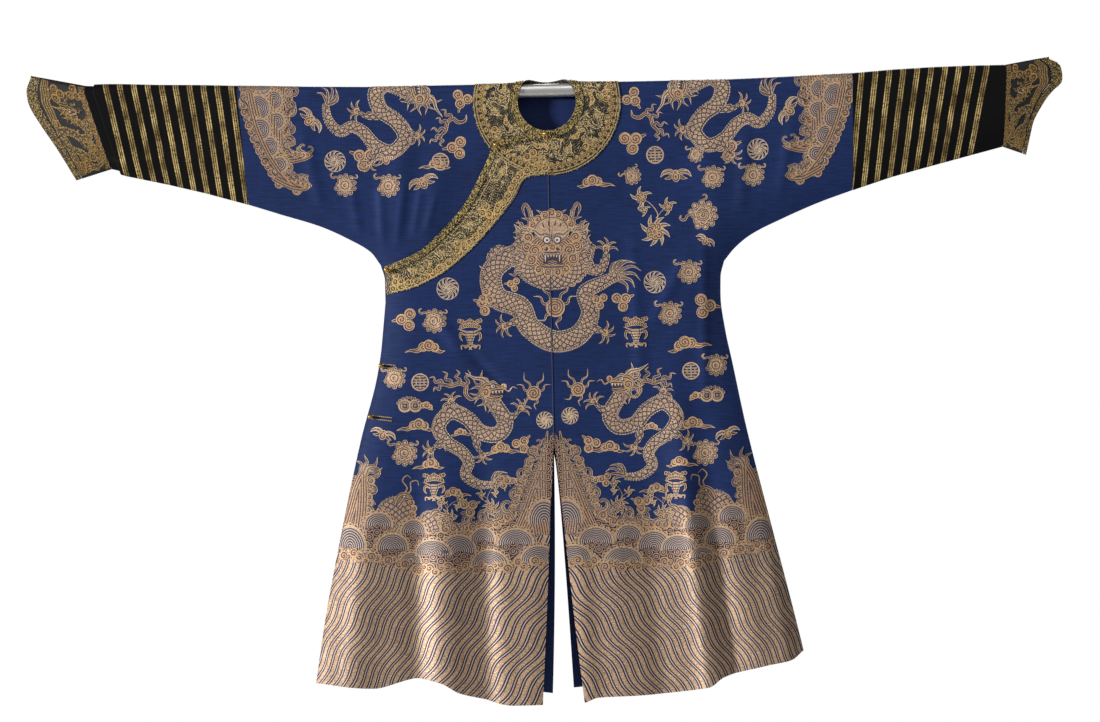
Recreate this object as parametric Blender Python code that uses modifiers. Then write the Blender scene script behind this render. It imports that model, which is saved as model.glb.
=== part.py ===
"""A woven silk court robe that hangs flat on a straight display rod.

Metres, +Z up, +X to the viewer's right, front facing -Y. The origin is the middle of the rod.
Right and left in names are the wearer's, so the right half lies at -X.

Each cloth piece is cut on a flat pattern: x across, and s, the distance from the shoulder fold,
positive down the front and negative down the back. hang() takes a point of that pattern to its
place on the hanging robe.
"""

import math
from collections import namedtuple

import bmesh
import bpy
import numpy as np

# Cloth and rod
CLOTH = 0.0012
BAND = 0.0010
SEAM = 0.0003
ROD_RADIUS = 0.014
ROD_HALF_LENGTH = 0.950
FOLD_STEPS = 4
FOLD_RADIUS = (ROD_RADIUS + SEAM + CLOTH / 2) / math.cos(math.pi / 4 / FOLD_STEPS)
WRAP = math.pi / 2 * FOLD_RADIUS
EDGE_GAP = 0.0008
TUBE_SEAM = 0.0007
CLOSING = 0.070
SLOPE_STEP = 0.0004

# Layers, each the distance of a piece's middle from the panel below it
ON_PANEL = CLOTH / 2 + 0.0004 + BAND / 2
ON_BAND = BAND + 0.0006
OVERLAP_TOP = 0.0048
OVERLAP_SIDE = 0.0050
OVERLAP_HEM = 0.0070
OVERLAP_TOP_REACH = 0.250
OVERLAP_DEEP_FROM = -0.300
OVERLAP_DEEP_OVER = 0.350
OVERLAP_EASE = 0.160
OVERLAP_EASE_FROM = 0.030
OVERLAP_EASE_OVER = 0.079

# Neck and collar, as circles on the flat pattern
NECK_CENTRE = 0.048
NECK_RADIUS = 0.061
BINDING_RADIUS = 0.077
COLLAR_RADIUS = 0.156
COLLAR_TUCK = 0.160
NECK_STAND = 0.007
NECK_STAND_HALF = 0.095

# Openings in the skirt
FRONT_SLIT_TOP = -0.735
BACK_SLIT_TOP = -0.770
UNDER_EDGE = 0.055
UNDER_EDGE_FROM = -0.450
UNDER_EDGE_OVER = 0.300
UNDER_LAST_ROW = 7
UNDER_INSET = 0.002

Half = namedtuple("Half", "sign seam_top seam_low side under hem back_hem slit back_slit back_bow")
Point = namedtuple("Point", "x z")

# Half the space between front and back at each height
Space = namedtuple("Space", "z half")
SPACES = (
    Space(0.000, FOLD_RADIUS),
    Space(-0.100, 0.0135),
    Space(-0.250, 0.0110),
    Space(-0.600, 0.0115),
    Space(-0.900, 0.0140),
    Space(-1.300, 0.0190),
)

# How far the shoulder fold rises off the rod towards the wrists
Rise = namedtuple("Rise", "x up")
RISES = (Rise(0.380, 0.0), Rise(0.500, 0.003), Rise(0.650, 0.008))

RIGHT = Half(
    sign=-1,
    seam_top=0.650,
    seam_low=0.632,
    side=(
        Point(0.356, -0.361),
        Point(0.350, -0.390),
        Point(0.350, -0.440),
        Point(0.357, -0.526),
        Point(0.368, -0.593),
        Point(0.405, -0.727),
        Point(0.451, -0.927),
        Point(0.486, -1.095),
        Point(0.510, -1.239),
    ),
    under=(
        Point(0.356, -0.361),
        Point(0.376, -0.333),
        Point(0.419, -0.306),
        Point(0.482, -0.276),
        Point(0.565, -0.249),
        Point(0.632, -0.227),
    ),
    hem=(
        Point(0.036, -1.289),
        Point(0.095, -1.289),
        Point(0.154, -1.276),
        Point(0.212, -1.261),
        Point(0.250, -1.238),
        Point(0.300, -1.229),
        Point(0.388, -1.248),
        Point(0.510, -1.239),
    ),
    back_hem=(Point(0.013, -1.270), Point(0.190, -1.245), Point(0.300, -1.222), Point(0.510, -1.234)),
    slit=0.036,
    back_slit=0.013,
    back_bow=1.9,
)
LEFT = Half(
    sign=1,
    seam_top=0.644,
    seam_low=0.639,
    side=(
        Point(0.366, -0.366),
        Point(0.358, -0.398),
        Point(0.357, -0.440),
        Point(0.366, -0.515),
        Point(0.378, -0.575),
        Point(0.404, -0.710),
        Point(0.456, -0.935),
        Point(0.494, -1.095),
        Point(0.516, -1.192),
    ),
    under=(
        Point(0.366, -0.366),
        Point(0.390, -0.338),
        Point(0.425, -0.311),
        Point(0.485, -0.282),
        Point(0.569, -0.247),
        Point(0.639, -0.223),
    ),
    hem=(
        Point(0.054, -1.287),
        Point(0.081, -1.277),
        Point(0.199, -1.273),
        Point(0.258, -1.268),
        Point(0.317, -1.259),
        Point(0.347, -1.240),
        Point(0.436, -1.219),
        Point(0.490, -1.210),
        Point(0.516, -1.192),
    ),
    back_hem=(Point(0.031, -1.259), Point(0.200, -1.245), Point(0.340, -1.225), Point(0.516, -1.188)),
    slit=0.054,
    back_slit=0.031,
    back_bow=0.7,
)

# The largest folds: a ridge from its start, where it fades in, to its end. A hem fold runs on.
Fold = namedtuple("Fold", "face x0 z0 x1 z1 width height hem")
FRONT, BACK = 1, -1
FOLDS = (
    Fold(FRONT, 0.235, -0.480, 0.325, -1.270, 0.036, 0.017, True),
    Fold(FRONT, 0.330, -0.800, 0.430, -1.230, 0.034, 0.009, True),
    Fold(FRONT, 0.090, -0.700, 0.150, -1.290, 0.050, 0.009, True),
    Fold(FRONT, -0.225, -0.640, -0.238, -1.260, 0.040, 0.016, True),
    Fold(FRONT, -0.110, -0.800, -0.120, -1.290, 0.036, 0.010, True),
    Fold(FRONT, -0.360, -0.760, -0.420, -1.250, 0.036, 0.010, True),
    Fold(FRONT, -0.300, -0.060, -0.330, -0.330, 0.030, 0.004, False),
    Fold(FRONT, -0.215, -0.090, -0.270, -0.360, 0.030, 0.004, False),
    Fold(FRONT, 0.330, -0.060, 0.350, -0.400, 0.034, 0.003, False),
    Fold(BACK, 0.130, -0.560, 0.170, -1.270, 0.046, 0.014, True),
    Fold(BACK, 0.300, -0.640, 0.380, -1.240, 0.042, 0.013, True),
    Fold(BACK, -0.150, -0.600, -0.190, -1.270, 0.046, 0.014, True),
    Fold(BACK, -0.310, -0.680, -0.370, -1.240, 0.042, 0.012, True),
    Fold(BACK, 0.300, -0.080, 0.330, -0.380, 0.034, 0.004, False),
    Fold(BACK, -0.300, -0.080, -0.330, -0.380, 0.034, 0.004, False),
)

# The lapel band's upper and lower edges, from the centre front to the underarm, x outwards
Lapel = namedtuple("Lapel", "x_top z_top x_low z_low")
LAPEL = (
    Lapel(0.000, -0.084, 0.000, -0.178),
    Lapel(0.040, -0.091, 0.024, -0.180),
    Lapel(0.080, -0.099, 0.049, -0.186),
    Lapel(0.113, -0.108, 0.060, -0.203),
    Lapel(0.126, -0.140, 0.069, -0.221),
    Lapel(0.150, -0.188, 0.092, -0.252),
    Lapel(0.176, -0.234, 0.120, -0.285),
    Lapel(0.219, -0.283, 0.165, -0.332),
    Lapel(0.275, -0.333, 0.233, -0.385),
    Lapel(0.310, -0.350, 0.290, -0.411),
    Lapel(0.347, -0.363, 0.346, -0.424),
)
LAPEL_EDGING = 0.014

# Rows of the flat pattern, as distances from the shoulder fold
WRAP_ROWS = tuple(WRAP * step / FOLD_STEPS for step in range(FOLD_STEPS + 1))
NECK_ROWS = (0.048, 0.070, 0.087, 0.099, 0.106, 0.109)
CHEST_ROWS = (0.130, 0.160, 0.182, 0.196, 0.203, 0.290)
BACK_WRAP_ROWS = (0.0, WRAP / 4, NECK_RADIUS - NECK_CENTRE, 0.75 * WRAP, WRAP)
BACK_ROWS = (0.050, 0.075, 0.094, 0.104, 0.107, 0.200, 0.290)
SKIRT_SHARES = (0.0, 0.04, 0.09, 0.18, 0.29, 0.407, 0.58, 0.78, 1.0)
SKIRT_JOIN = 3
BODY_COLUMNS = 14

# Each sleeve ring is a shoulder crest, a bottom crease and the radius of its upper fold
Ring = namedtuple("Ring", "x_top z_top x_low z_low radius out")
SLEEVE_RIGHT = (
    Ring(0.732, 0.0265, 0.722, -0.201, FOLD_RADIUS, 0.0),
    Ring(0.816, 0.0285, 0.797, -0.182, FOLD_RADIUS, 0.0),
    Ring(0.890, 0.0285, 0.866, -0.163, FOLD_RADIUS, 0.0010),
)
TUCK_RIGHT = Ring(0.951, 0.0280, 0.899, -0.154, FOLD_RADIUS, 0.0)
TUCK_DEPTH = 0.014
TUCK_TURN = 0.0011
CUFF_SEAM_RIGHT = Ring(0.969, 0.0295, 0.918, -0.146, 0.0150, 0.0)
SLEEVE_LEFT = (
    Ring(0.727, 0.0285, 0.722, -0.197, FOLD_RADIUS, 0.0),
    Ring(0.811, 0.0320, 0.800, -0.177, FOLD_RADIUS, 0.0),
    Ring(0.890, 0.0335, 0.880, -0.157, FOLD_RADIUS, 0.0),
)
CUFF_SEAM_LEFT = Ring(0.965, 0.0335, 0.957, -0.138, 0.0150, 0.0)
CUFF_EDGE_RIGHT = Ring(1.084, 0.0535, 0.993, -0.168, 0.0050, 0.0)
CUFF_EDGE_LEFT = Ring(1.052, 0.0490, 1.006, -0.156, 0.0050, 0.0)
EDGING_START = 0.84

# How far a cuff's outer edge swells past the straight line from crest to crease
Swell = namedtuple("Swell", "share out")
SWELL_RIGHT = (
    Swell(0.0, 0.0),
    Swell(0.14, 0.022),
    Swell(0.28, 0.0285),
    Swell(0.45, 0.023),
    Swell(0.70, 0.0105),
    Swell(1.0, 0.0),
)
SWELL_LEFT = (
    Swell(0.0, 0.006),
    Swell(0.06, 0.031),
    Swell(0.24, 0.043),
    Swell(0.34, 0.027),
    Swell(0.45, 0.0145),
    Swell(0.70, 0.0),
    Swell(1.0, 0.0),
)
RING_SHARES = (0.06, 0.22, 0.40, 0.59, 0.77, 0.91, 1.0)

# Ball buttons, x outwards on the right half, and the cord loop that holds each
Button = namedtuple("Button", "name x z run_x run_z layers")
BUTTONS = (
    Button("neck", 0.0045, -0.0930, 0.0, -0.012, 2),
    Button("lapel", 0.1085, -0.1135, -0.006, -0.010, 2),
    Button("underarm", 0.3430, -0.3700, -0.009, -0.006, 2),
    Button("waist", 0.3600, -0.5720, -0.032, -0.003, 0),
    Button("hip", 0.3840, -0.6790, -0.046, -0.006, 0),
)
BALL_RADIUS = 0.0048
SHANK_RADIUS = 0.0013
SHANK_LENGTH = 0.0042
LOOP_CORD = 0.0010


def smooth(t):
    """0 to 1, level at both ends."""
    t = np.clip(t, 0.0, 1.0)
    return t * t * (3 - 2 * t)


def read(table, at, where, what):
    """A table's column, read between its rows."""
    places = np.array([getattr(row, where) for row in table])
    values = np.array([getattr(row, what) for row in table])
    if places[0] > places[-1]:
        places, values = places[::-1], values[::-1]
    return np.interp(at, places, values)


def edge_distance(x, z):
    """How far a point lies inside the outline of the sleeve's underside and the side seam."""
    best = np.full(np.shape(x), 1.0)
    for half in (RIGHT, LEFT):
        wrist = Point(half.under[-1].x + 0.4, half.under[-1].z + 0.11)
        below = Point(half.side[-1].x + 0.02, half.side[-1].z - 0.2)
        line = [wrist, *reversed(half.under), *half.side[1:], below]
        for a, b in zip(line, line[1:]):
            along = np.array([b.x - a.x, b.z - a.z])
            px, pz = x * half.sign - a.x, z - a.z
            t = np.clip((px * along[0] + pz * along[1]) / (along @ along), 0.0, 1.0)
            best = np.minimum(best, np.hypot(px - t * along[0], pz - t * along[1]))
    return best


def closing(distance):
    """How open the robe is this far inside its outline, from 0 at the seam to 1."""
    q = np.clip(distance / CLOSING, 0.0, 1.0)
    return q * (2 - q)


def fold_depth(x, z, face):
    """How far the folds push the cloth out from its plain form."""
    depth = np.zeros(np.shape(x))
    for fold in FOLDS:
        if fold.face != face:
            continue
        run = np.array([fold.x1 - fold.x0, fold.z1 - fold.z0])
        length = np.hypot(*run)
        t = ((x - fold.x0) * run[0] + (z - fold.z0) * run[1]) / length**2
        off = ((x - fold.x0) * run[1] - (z - fold.z0) * run[0]) / length
        fade = smooth(t / 0.7) if fold.hem else smooth(t * 3) * smooth((1 - t) * 3)
        depth = depth + fold.height * fade * np.exp(-((off / fold.width) ** 2))
    return depth


def hang(x, s):
    """The middle of the cloth at flat pattern points (x, s)."""
    x, s = np.asarray(x, float), np.asarray(s, float)
    away = np.abs(s)
    rise = read(RISES, np.abs(x), "x", "up")
    angle = np.minimum(away, WRAP) / FOLD_RADIUS
    stand = NECK_STAND * smooth(1 - np.abs(x) / NECK_STAND_HALF) * smooth(1 - away / 0.10)
    z = rise + FOLD_RADIUS * np.cos(angle) - np.maximum(away - WRAP, 0.0) + stand
    on_rod = FOLD_RADIUS * np.sin(angle)
    open_share = closing(edge_distance(x, z))
    space = read(SPACES, z, "z", "half")
    depths = np.where(s < 0, fold_depth(x, z, BACK), fold_depth(x, z, FRONT))
    below = EDGE_GAP + (space - EDGE_GAP + depths) * open_share
    y = np.where(away <= WRAP, on_rod, below)
    return np.stack([x, np.where(s < 0, y, -y), z], axis=-1)


def moved_out(x, s, lift):
    """Pattern points hung and then moved out from the cloth by lift."""
    x, s = np.asarray(x, float), np.asarray(s, float)
    across = hang(x + SLOPE_STEP, s) - hang(x - SLOPE_STEP, s)
    down = hang(x, s + SLOPE_STEP) - hang(x, s - SLOPE_STEP)
    out = np.cross(across, -down)
    out /= np.linalg.norm(out, axis=-1, keepdims=True)
    return hang(x, s) + out * np.asarray(lift)[..., None]


def flat_of(z):
    """Pattern distance from the shoulder fold to a height below the rod, on the body."""
    return WRAP - np.asarray(z, float)


def height_of(s):
    """The height of a pattern row below the rod, on the body."""
    return WRAP - np.asarray(s, float)


def overlap_lift(x, z):
    """How far the outer front's middle stands out from the under front below it."""
    side = OVERLAP_TOP + (OVERLAP_SIDE - OVERLAP_TOP) * smooth(np.abs(x) / OVERLAP_TOP_REACH)
    deep = smooth((OVERLAP_DEEP_FROM - np.asarray(z)) / OVERLAP_DEEP_OVER)
    return side + (OVERLAP_HEM - side) * deep


def left_front_lift(x, s):
    """The left front rises to meet the outer front at the centre seam."""
    near = np.clip(1 - x / OVERLAP_EASE, 0.0, 1.0)
    return overlap_lift(0 * x, height_of(s)) * near * smooth((s - OVERLAP_EASE_FROM) / OVERLAP_EASE_OVER)


def circle_reach(radius, s):
    """Half the width of a circle about the neck's centre, at pattern row s."""
    return np.sqrt(np.maximum(radius**2 - (np.asarray(s, float) - NECK_CENTRE) ** 2, 0.0))


def new_object(name, mesh):
    made = bpy.data.objects.new(name, mesh)
    ROBE.objects.link(made)
    return made


def surface_mesh(name, patches, wrapped=False):
    """One open surface from grids of points. Each quad is split along the same diagonal."""
    shape = bmesh.new()
    for grid in patches:
        rows, columns = grid.shape[:2]
        points = [[shape.verts.new(grid[i, j]) for j in range(columns)] for i in range(rows)]
        for i in range(rows - 1):
            for j in range(columns if wrapped else columns - 1):
                k = (j + 1) % columns
                a, b, c, d = points[i][j], points[i][k], points[i + 1][k], points[i + 1][j]
                shape.faces.new((a, b, c))
                shape.faces.new((a, c, d))
    bmesh.ops.remove_doubles(shape, verts=shape.verts, dist=1e-6)
    bmesh.ops.recalc_face_normals(shape, faces=shape.faces)
    mesh = bpy.data.meshes.new(name)
    shape.to_mesh(mesh)
    shape.free()
    return mesh


def cloth_wall(name, patches, thickness, material, wrapped=False):
    """A cloth piece: an open surface given its thickness by Solidify."""
    wall = new_object(name, surface_mesh(name, patches, wrapped))
    wall.data.materials.append(material)
    wall.data.shade_smooth()
    solidify = wall.modifiers.new("wall", "SOLIDIFY")
    solidify.thickness = thickness
    solidify.offset = 0.0
    solidify.use_even_offset = True
    solidify.thickness_clamp = 2.0
    return wall


def body_rows(half, face):
    """Pattern rows of the upper body, from the shoulder fold to the underarm."""
    underarm = float(flat_of(half.side[0].z))
    if face == FRONT:
        return (*WRAP_ROWS, *NECK_ROWS, *CHEST_ROWS, underarm)
    return (*BACK_WRAP_ROWS, *BACK_ROWS, underarm)


def inner_edge(half, face, z, s):
    """Where the half's inner edge lies: on the neck hole, at the centre seam or along the slit."""
    top, hem, out, bow = FRONT_SLIT_TOP, half.hem, half.slit, 1.0
    if face == BACK:
        top, hem, out, bow = BACK_SLIT_TOP, half.back_hem, half.back_slit, half.back_bow
    on_slit = np.clip((top - z) / (top - hem[0].z), 0.0, 1.0) ** bow
    return np.maximum(SEAM / 2 + out * on_slit, circle_reach(NECK_RADIUS, s * face))


def skirt_grid(half, face, shares, columns, inset=0.0):
    """Pattern points of the skirt below the underarm: rows by share of the drop, columns by share."""
    hem = half.hem if face == FRONT else half.back_hem
    top = half.side[0].z
    columns, shares = np.asarray(columns), np.asarray(shares)[:, None]
    hem_x = hem[0].x + (hem[-1].x - hem[0].x) * columns
    hem_z = read(hem, hem_x, "x", "z")
    z = top + (hem_z - top)[None, :] * shares
    s = flat_of(z)
    inner = inner_edge(half, face, z, s)
    side = read(half.side, z, "z", "x") - inset * (shares > 0)
    return inner + (side - inner) * columns[None, :], s


def chest_grid(half, face, columns):
    """Pattern points of the body above the underarm, out to the line of the underarm."""
    rows = np.array(body_rows(half, face))
    s = np.repeat(rows[:, None], len(columns), axis=1)
    inner = inner_edge(half, face, height_of(s), s)
    outer = half.side[0].x
    return inner + (outer - inner) * np.asarray(columns)[None, :], s


def upper_sleeve_grid(half, face):
    """Pattern points of the sleeve cut in one with the body, out to its seam."""
    rows = np.array(body_rows(half, face))
    low = rows[-1]
    stations = [point.x for point in half.under]
    reach = (np.array(stations) - stations[0]) / (stations[-1] - stations[0])
    below = np.clip((rows - WRAP) / (low - WRAP), 0.0, 1.0)
    seam = half.seam_top + (half.seam_low - half.seam_top) * below - SEAM / 2
    x = stations[0] + (seam - stations[0])[:, None] * reach[None, :]
    under_z = read(half.under, x, "x", "z")
    rise = read(RISES, x, "x", "up")
    bottom = WRAP - under_z + rise
    s = np.where(
        rows[:, None] <= WRAP,
        rows[:, None],
        WRAP + (rows[:, None] - WRAP) * (bottom - WRAP) / (low - WRAP),
    )
    return x, s


def body_half(name, half, material):
    """Front, back and upper sleeve of one half, cut in one over the shoulder."""
    shares = np.linspace(0.0, 1.0, BODY_COLUMNS + 1)
    under_front = half is RIGHT
    patches = []
    for face in (FRONT, BACK):
        for x, s in (chest_grid(half, face, shares), upper_sleeve_grid(half, face)):
            patches.append(hung_patch(half, face, x, s))
        rows = SKIRT_SHARES
        if under_front and face == FRONT:
            rows = SKIRT_SHARES[: UNDER_LAST_ROW + 1]
        x, s = skirt_grid(half, face, rows, shares, inset=UNDER_INSET if under_front else 0.0)
        if under_front and face == FRONT:
            back_from_slit = UNDER_EDGE * smooth((s - flat_of(UNDER_EDGE_FROM)) / UNDER_EDGE_OVER)
            x = x + (np.max(x, axis=1, keepdims=True) - x) * back_from_slit
        patches.append(hung_patch(half, face, x, s))
    return cloth_wall(name, patches, CLOTH, material)


def hung_patch(half, face, x, s):
    """Pattern grid to points on the hanging robe."""
    lift = left_front_lift(x, s) if half is LEFT and face == FRONT else 0 * x
    return moved_out(x * half.sign, s * face, lift)


def lapel_columns():
    """Upper and lower edge of the lapel band at each column of the outer front."""
    shares = np.linspace(0.0, 1.0, BODY_COLUMNS + 1)
    x_low = LAPEL[-1].x_low * shares
    z_low = read(LAPEL, x_low, "x_low", "z_low")
    x_top = read(LAPEL, x_low, "x_low", "x_top")
    z_top = read(LAPEL, x_low, "x_low", "z_top")
    x_low[0] = x_top[0] = SEAM / 2
    return x_top, z_top, x_low, z_low


def outer_front(material):
    """The overlap, from the lapel's upper edge to the hem, closing at the wearer's right side."""
    x_top, z_top, x_low, z_low = lapel_columns()
    shares = np.linspace(0.0, 1.0, BODY_COLUMNS + 1)
    x_skirt, s_skirt = skirt_grid(RIGHT, FRONT, SKIRT_SHARES[SKIRT_JOIN:], shares)
    across = np.array([0.0, 0.5, 1.0])[:, None]
    x_band = x_top + (x_low - x_top) * across
    s_band = flat_of(z_top + (z_low - z_top) * across)
    between = np.array([0.5])[:, None]
    x_mid = x_low + (x_skirt[0] - x_low) * between
    s_mid = s_band[-1] + (s_skirt[0] - s_band[-1]) * between
    x = np.vstack([x_band, x_mid, x_skirt])
    s = np.vstack([s_band, s_mid, s_skirt])
    grid = moved_out(-x, s, overlap_lift(x, height_of(s)))
    return cloth_wall("outer_front_right", [grid], CLOTH, material)


def lapel_pieces(band_material, edging_material):
    """The lapel band, made from the outer front's points, and the edging made from the band's."""
    x_top, z_top, x_low, z_low = lapel_columns()
    width = np.hypot(x_low - x_top, z_low - z_top)
    for name, shares, layers, material in (
        ("lapel_band", (np.zeros_like(width), np.full_like(width, 0.5), np.ones_like(width)), 0, band_material),
        ("lapel_edging", (np.zeros_like(width), LAPEL_EDGING / width), 1, edging_material),
    ):
        across = np.vstack(shares)
        x = x_top + (x_low - x_top) * across
        s = flat_of(z_top + (z_low - z_top) * across)
        lift = overlap_lift(x, height_of(s)) + ON_PANEL + ON_BAND * layers
        cloth_wall(name, [moved_out(-x, s, lift)], BAND, material)


def round_band(name, inner, outer, layers, columns, material):
    """A flat ring about the neck, from the centre front over the left shoulder, the back and the
    right shoulder to its end under the outer front."""
    across = np.linspace(0.0, 1.0, columns + 1)
    front = [s for s in (*WRAP_ROWS, *NECK_ROWS, *CHEST_ROWS) if s < NECK_CENTRE + outer]
    back = [s for s in (*BACK_WRAP_ROWS, *BACK_ROWS) if s < outer - NECK_CENTRE]
    under = [s for s in front if s <= COLLAR_TUCK]
    patches = []
    for sign, face, rows in ((1, FRONT, front), (1, BACK, back), (-1, FRONT, under), (-1, BACK, back)):
        s = np.array(rows)
        seam = SEAM / 2 if face == FRONT else 0.0
        inside = np.maximum(circle_reach(inner, s * face), seam)
        outside = circle_reach(outer, s * face)
        x = inside[:, None] + (outside - inside)[:, None] * across[None, :]
        s = np.repeat(s[:, None], columns + 1, axis=1)
        lift = ON_PANEL + ON_BAND * layers
        if sign > 0 and face == FRONT:
            lift = lift + left_front_lift(x, s)
        patches.append(moved_out(x * sign, s * face, lift + 0 * x))
    return cloth_wall(name, patches, BAND, material)


def ring_points(ring, swell=(), share=0.0):
    """A closed section of a sleeve or cuff: down the front from its crest and up the back."""
    radius = ring.radius + ring.out
    top = ring.z_top + ring.out
    low = ring.z_low - ring.out
    turns = np.linspace(0.0, math.pi / 2, len(WRAP_ROWS))
    centre = top - radius
    drops = centre + (low + EDGE_GAP - centre) * np.array(RING_SHARES)
    z = np.concatenate([centre + radius * np.cos(turns), drops])
    down = np.clip((centre - z) / (centre - low), 0.0, 1.0)
    x = ring.x_top + (ring.x_low - ring.x_top) * down
    if swell:
        x = x + share * read(swell, down, "share", "out")
    space = read(SPACES, np.minimum(drops, 0.0), "z", "half") * radius / FOLD_RADIUS
    closed = closing(drops - drops[-1]) * (space - EDGE_GAP) + EDGE_GAP
    y = np.concatenate([radius * np.sin(turns), closed])
    front = np.stack([x, -y, z], axis=-1)
    bottom = np.array([[ring.x_low + (share * swell[-1].out if swell else 0.0), 0.0, low]])
    back = front[:0:-1] * np.array([1, -1, 1])
    return np.concatenate([front, bottom, back])


def mixed(a, b, share):
    """A ring part of the way from ring a to ring b."""
    return Ring(*(p + (q - p) * share for p, q in zip(a, b)))


def moved_in(ring, distance):
    """The ring moved along its sleeve towards the shoulder."""
    return ring._replace(x_top=ring.x_top - distance, x_low=ring.x_low - distance)


def tube(name, half, rings, thickness, material):
    """A sleeve piece through its rings."""
    grid = np.array(rings) * np.array([half.sign, 1, 1])
    return cloth_wall(name, [grid], thickness, material, wrapped=True)


def sleeve_start(half):
    """The first ring of the sleeve extension, just past its seam with the body."""
    rise = float(read(RISES, half.seam_top, "x", "up"))
    low = half.under[-1].z
    first = Ring(half.seam_top, FOLD_RADIUS + rise, half.seam_low, low, FOLD_RADIUS, 0.0)
    return moved_in(first, SEAM / 2 - TUBE_SEAM)


def tuck_rings(ring):
    """A crosswise tuck: out to the fold, back under itself, and out again towards the cuff."""
    turn = TUCK_TURN
    outs = (4 * turn, 3 * turn, 2 * turn, 2 * turn, turn, 0.0)
    backs = (turn, 0.0, turn, TUCK_DEPTH - turn, TUCK_DEPTH, TUCK_DEPTH - turn)
    return [moved_in(ring, back)._replace(out=out) for out, back in zip(outs, backs)]


def sleeves(material):
    """The striped sleeve extensions. The right one is caught in a tuck near its cuff."""
    before = mixed(SLEEVE_RIGHT[-1], TUCK_RIGHT, 0.6)._replace(out=4 * TUCK_TURN)
    cuff_right = moved_in(CUFF_SEAM_RIGHT, TUBE_SEAM / 2)
    right = [sleeve_start(RIGHT), *SLEEVE_RIGHT[:-1], SLEEVE_RIGHT[-1]._replace(out=3 * TUCK_TURN), before]
    right += [*tuck_rings(TUCK_RIGHT), cuff_right]
    left = [sleeve_start(LEFT), *SLEEVE_LEFT, moved_in(CUFF_SEAM_LEFT, TUBE_SEAM / 2)]
    tube("sleeve_right", RIGHT, [ring_points(r) for r in right], CLOTH, material)
    tube("sleeve_left", LEFT, [ring_points(r) for r in left], CLOTH, material)


def cuffs(material, edging_material):
    """Flared cuffs, each with an edging sewn round its mouth."""
    for side, half, seam, edge, swell in (
        ("right", RIGHT, CUFF_SEAM_RIGHT, CUFF_EDGE_RIGHT, SWELL_RIGHT),
        ("left", LEFT, CUFF_SEAM_LEFT, CUFF_EDGE_LEFT, SWELL_LEFT),
    ):
        gap = TUBE_SEAM / 2 / (edge.x_low - seam.x_low)
        spans = (("cuff", (0.0, 0.28, 0.56, EDGING_START - gap), material),)
        spans += (("cuff_edging", (EDGING_START + gap, 1.0), edging_material),)
        for piece, stations, finish in spans:
            start = moved_in(seam, -TUBE_SEAM / 2)
            rings = [ring_points(mixed(start, edge, t), swell, t * t) for t in stations]
            tube(f"{piece}_{side}", half, rings, CLOTH, finish)


def button_lift(button, x, z, above):
    """How far something lying above the outer front stands out at a button."""
    top = CLOTH / 2
    if button.layers:
        top = ON_PANEL + ON_BAND * (button.layers - 1) + BAND / 2
    return overlap_lift(x, z) + top + SEAM + above


def ball_button(button, material):
    """A gilt ball on a short shank, turned about its own axis."""
    shank = [(SHANK_RADIUS * 1.6, 0.0), (SHANK_RADIUS, 0.0006), (SHANK_RADIUS, SHANK_LENGTH)]
    start = math.asin(SHANK_RADIUS / BALL_RADIUS)
    centre = SHANK_LENGTH + BALL_RADIUS * math.cos(start)
    turns = np.linspace(start, math.pi, 7)[1:-1]
    ball = [(BALL_RADIUS * math.sin(a), centre - BALL_RADIUS * math.cos(a)) for a in turns]
    profile = [(0.0, 0.0), *shank, *ball, (0.0, centre + BALL_RADIUS)]
    mesh = bpy.data.meshes.new(f"button_{button.name}")
    mesh.from_pydata([(r, 0.0, h) for r, h in reversed(profile)], [(i, i + 1) for i in range(len(profile) - 1)], [])
    made = new_object(f"button_{button.name}", mesh)
    mesh.materials.append(material)
    screw = made.modifiers.new("turned", "SCREW")
    screw.steps = screw.render_steps = 10
    screw.use_merge_vertices = True
    screw.merge_threshold = 0.00005
    screw.use_smooth_shade = True
    return made


def build_buttons(ball_material, cord_material):
    """Each ball, standing on its shank, and the cord loop that holds it."""
    for button in BUTTONS:
        ball = ball_button(button, ball_material)
        x, z = np.array(button.x), button.z
        ball.location = moved_out(-x, WRAP - z, button_lift(button, x, z, SEAM))
        ball.rotation_euler = (math.pi / 2, 0.0, 0.0)
        cord_loop(button, cord_material)


def cord_loop(button, material):
    """A doubled cord on the cloth, its bight round the button's shank and its ends sewn down."""
    length = math.hypot(button.run_x, button.run_z)
    along = np.array([button.run_x, button.run_z]) / length
    aside = np.array([-along[1], along[0]])
    reach = SHANK_RADIUS * 1.6 + LOOP_CORD + SEAM
    turns = np.linspace(-math.pi / 2, math.pi / 2, 7)
    round_shank = [reach * (math.sin(a) * aside - math.cos(a) * along) for a in turns]
    steps = np.linspace(length, 0.0, max(2, round(length / 0.010)) + 1)[:-1]
    first = [along * step - reach * aside for step in steps]
    second = [along * step + reach * aside for step in steps[::-1]]
    flat = np.array([*first, *round_shank, *second]) + np.array([button.x, button.z])
    x, z = flat[:, 0], flat[:, 1]
    points = moved_out(-x, WRAP - z, button_lift(button, x, z, LOOP_CORD))
    curve = bpy.data.curves.new(f"loop_{button.name}", "CURVE")
    curve.dimensions = "3D"
    curve.bevel_depth = LOOP_CORD
    curve.bevel_resolution = 1
    curve.use_fill_caps = True
    spline = curve.splines.new("POLY")
    spline.points.add(len(points) - 1)
    for spot, point in zip(spline.points, points):
        spot.co = (*point, 1.0)
    curve.materials.append(material)
    new_object(f"loop_{button.name}", curve)


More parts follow.
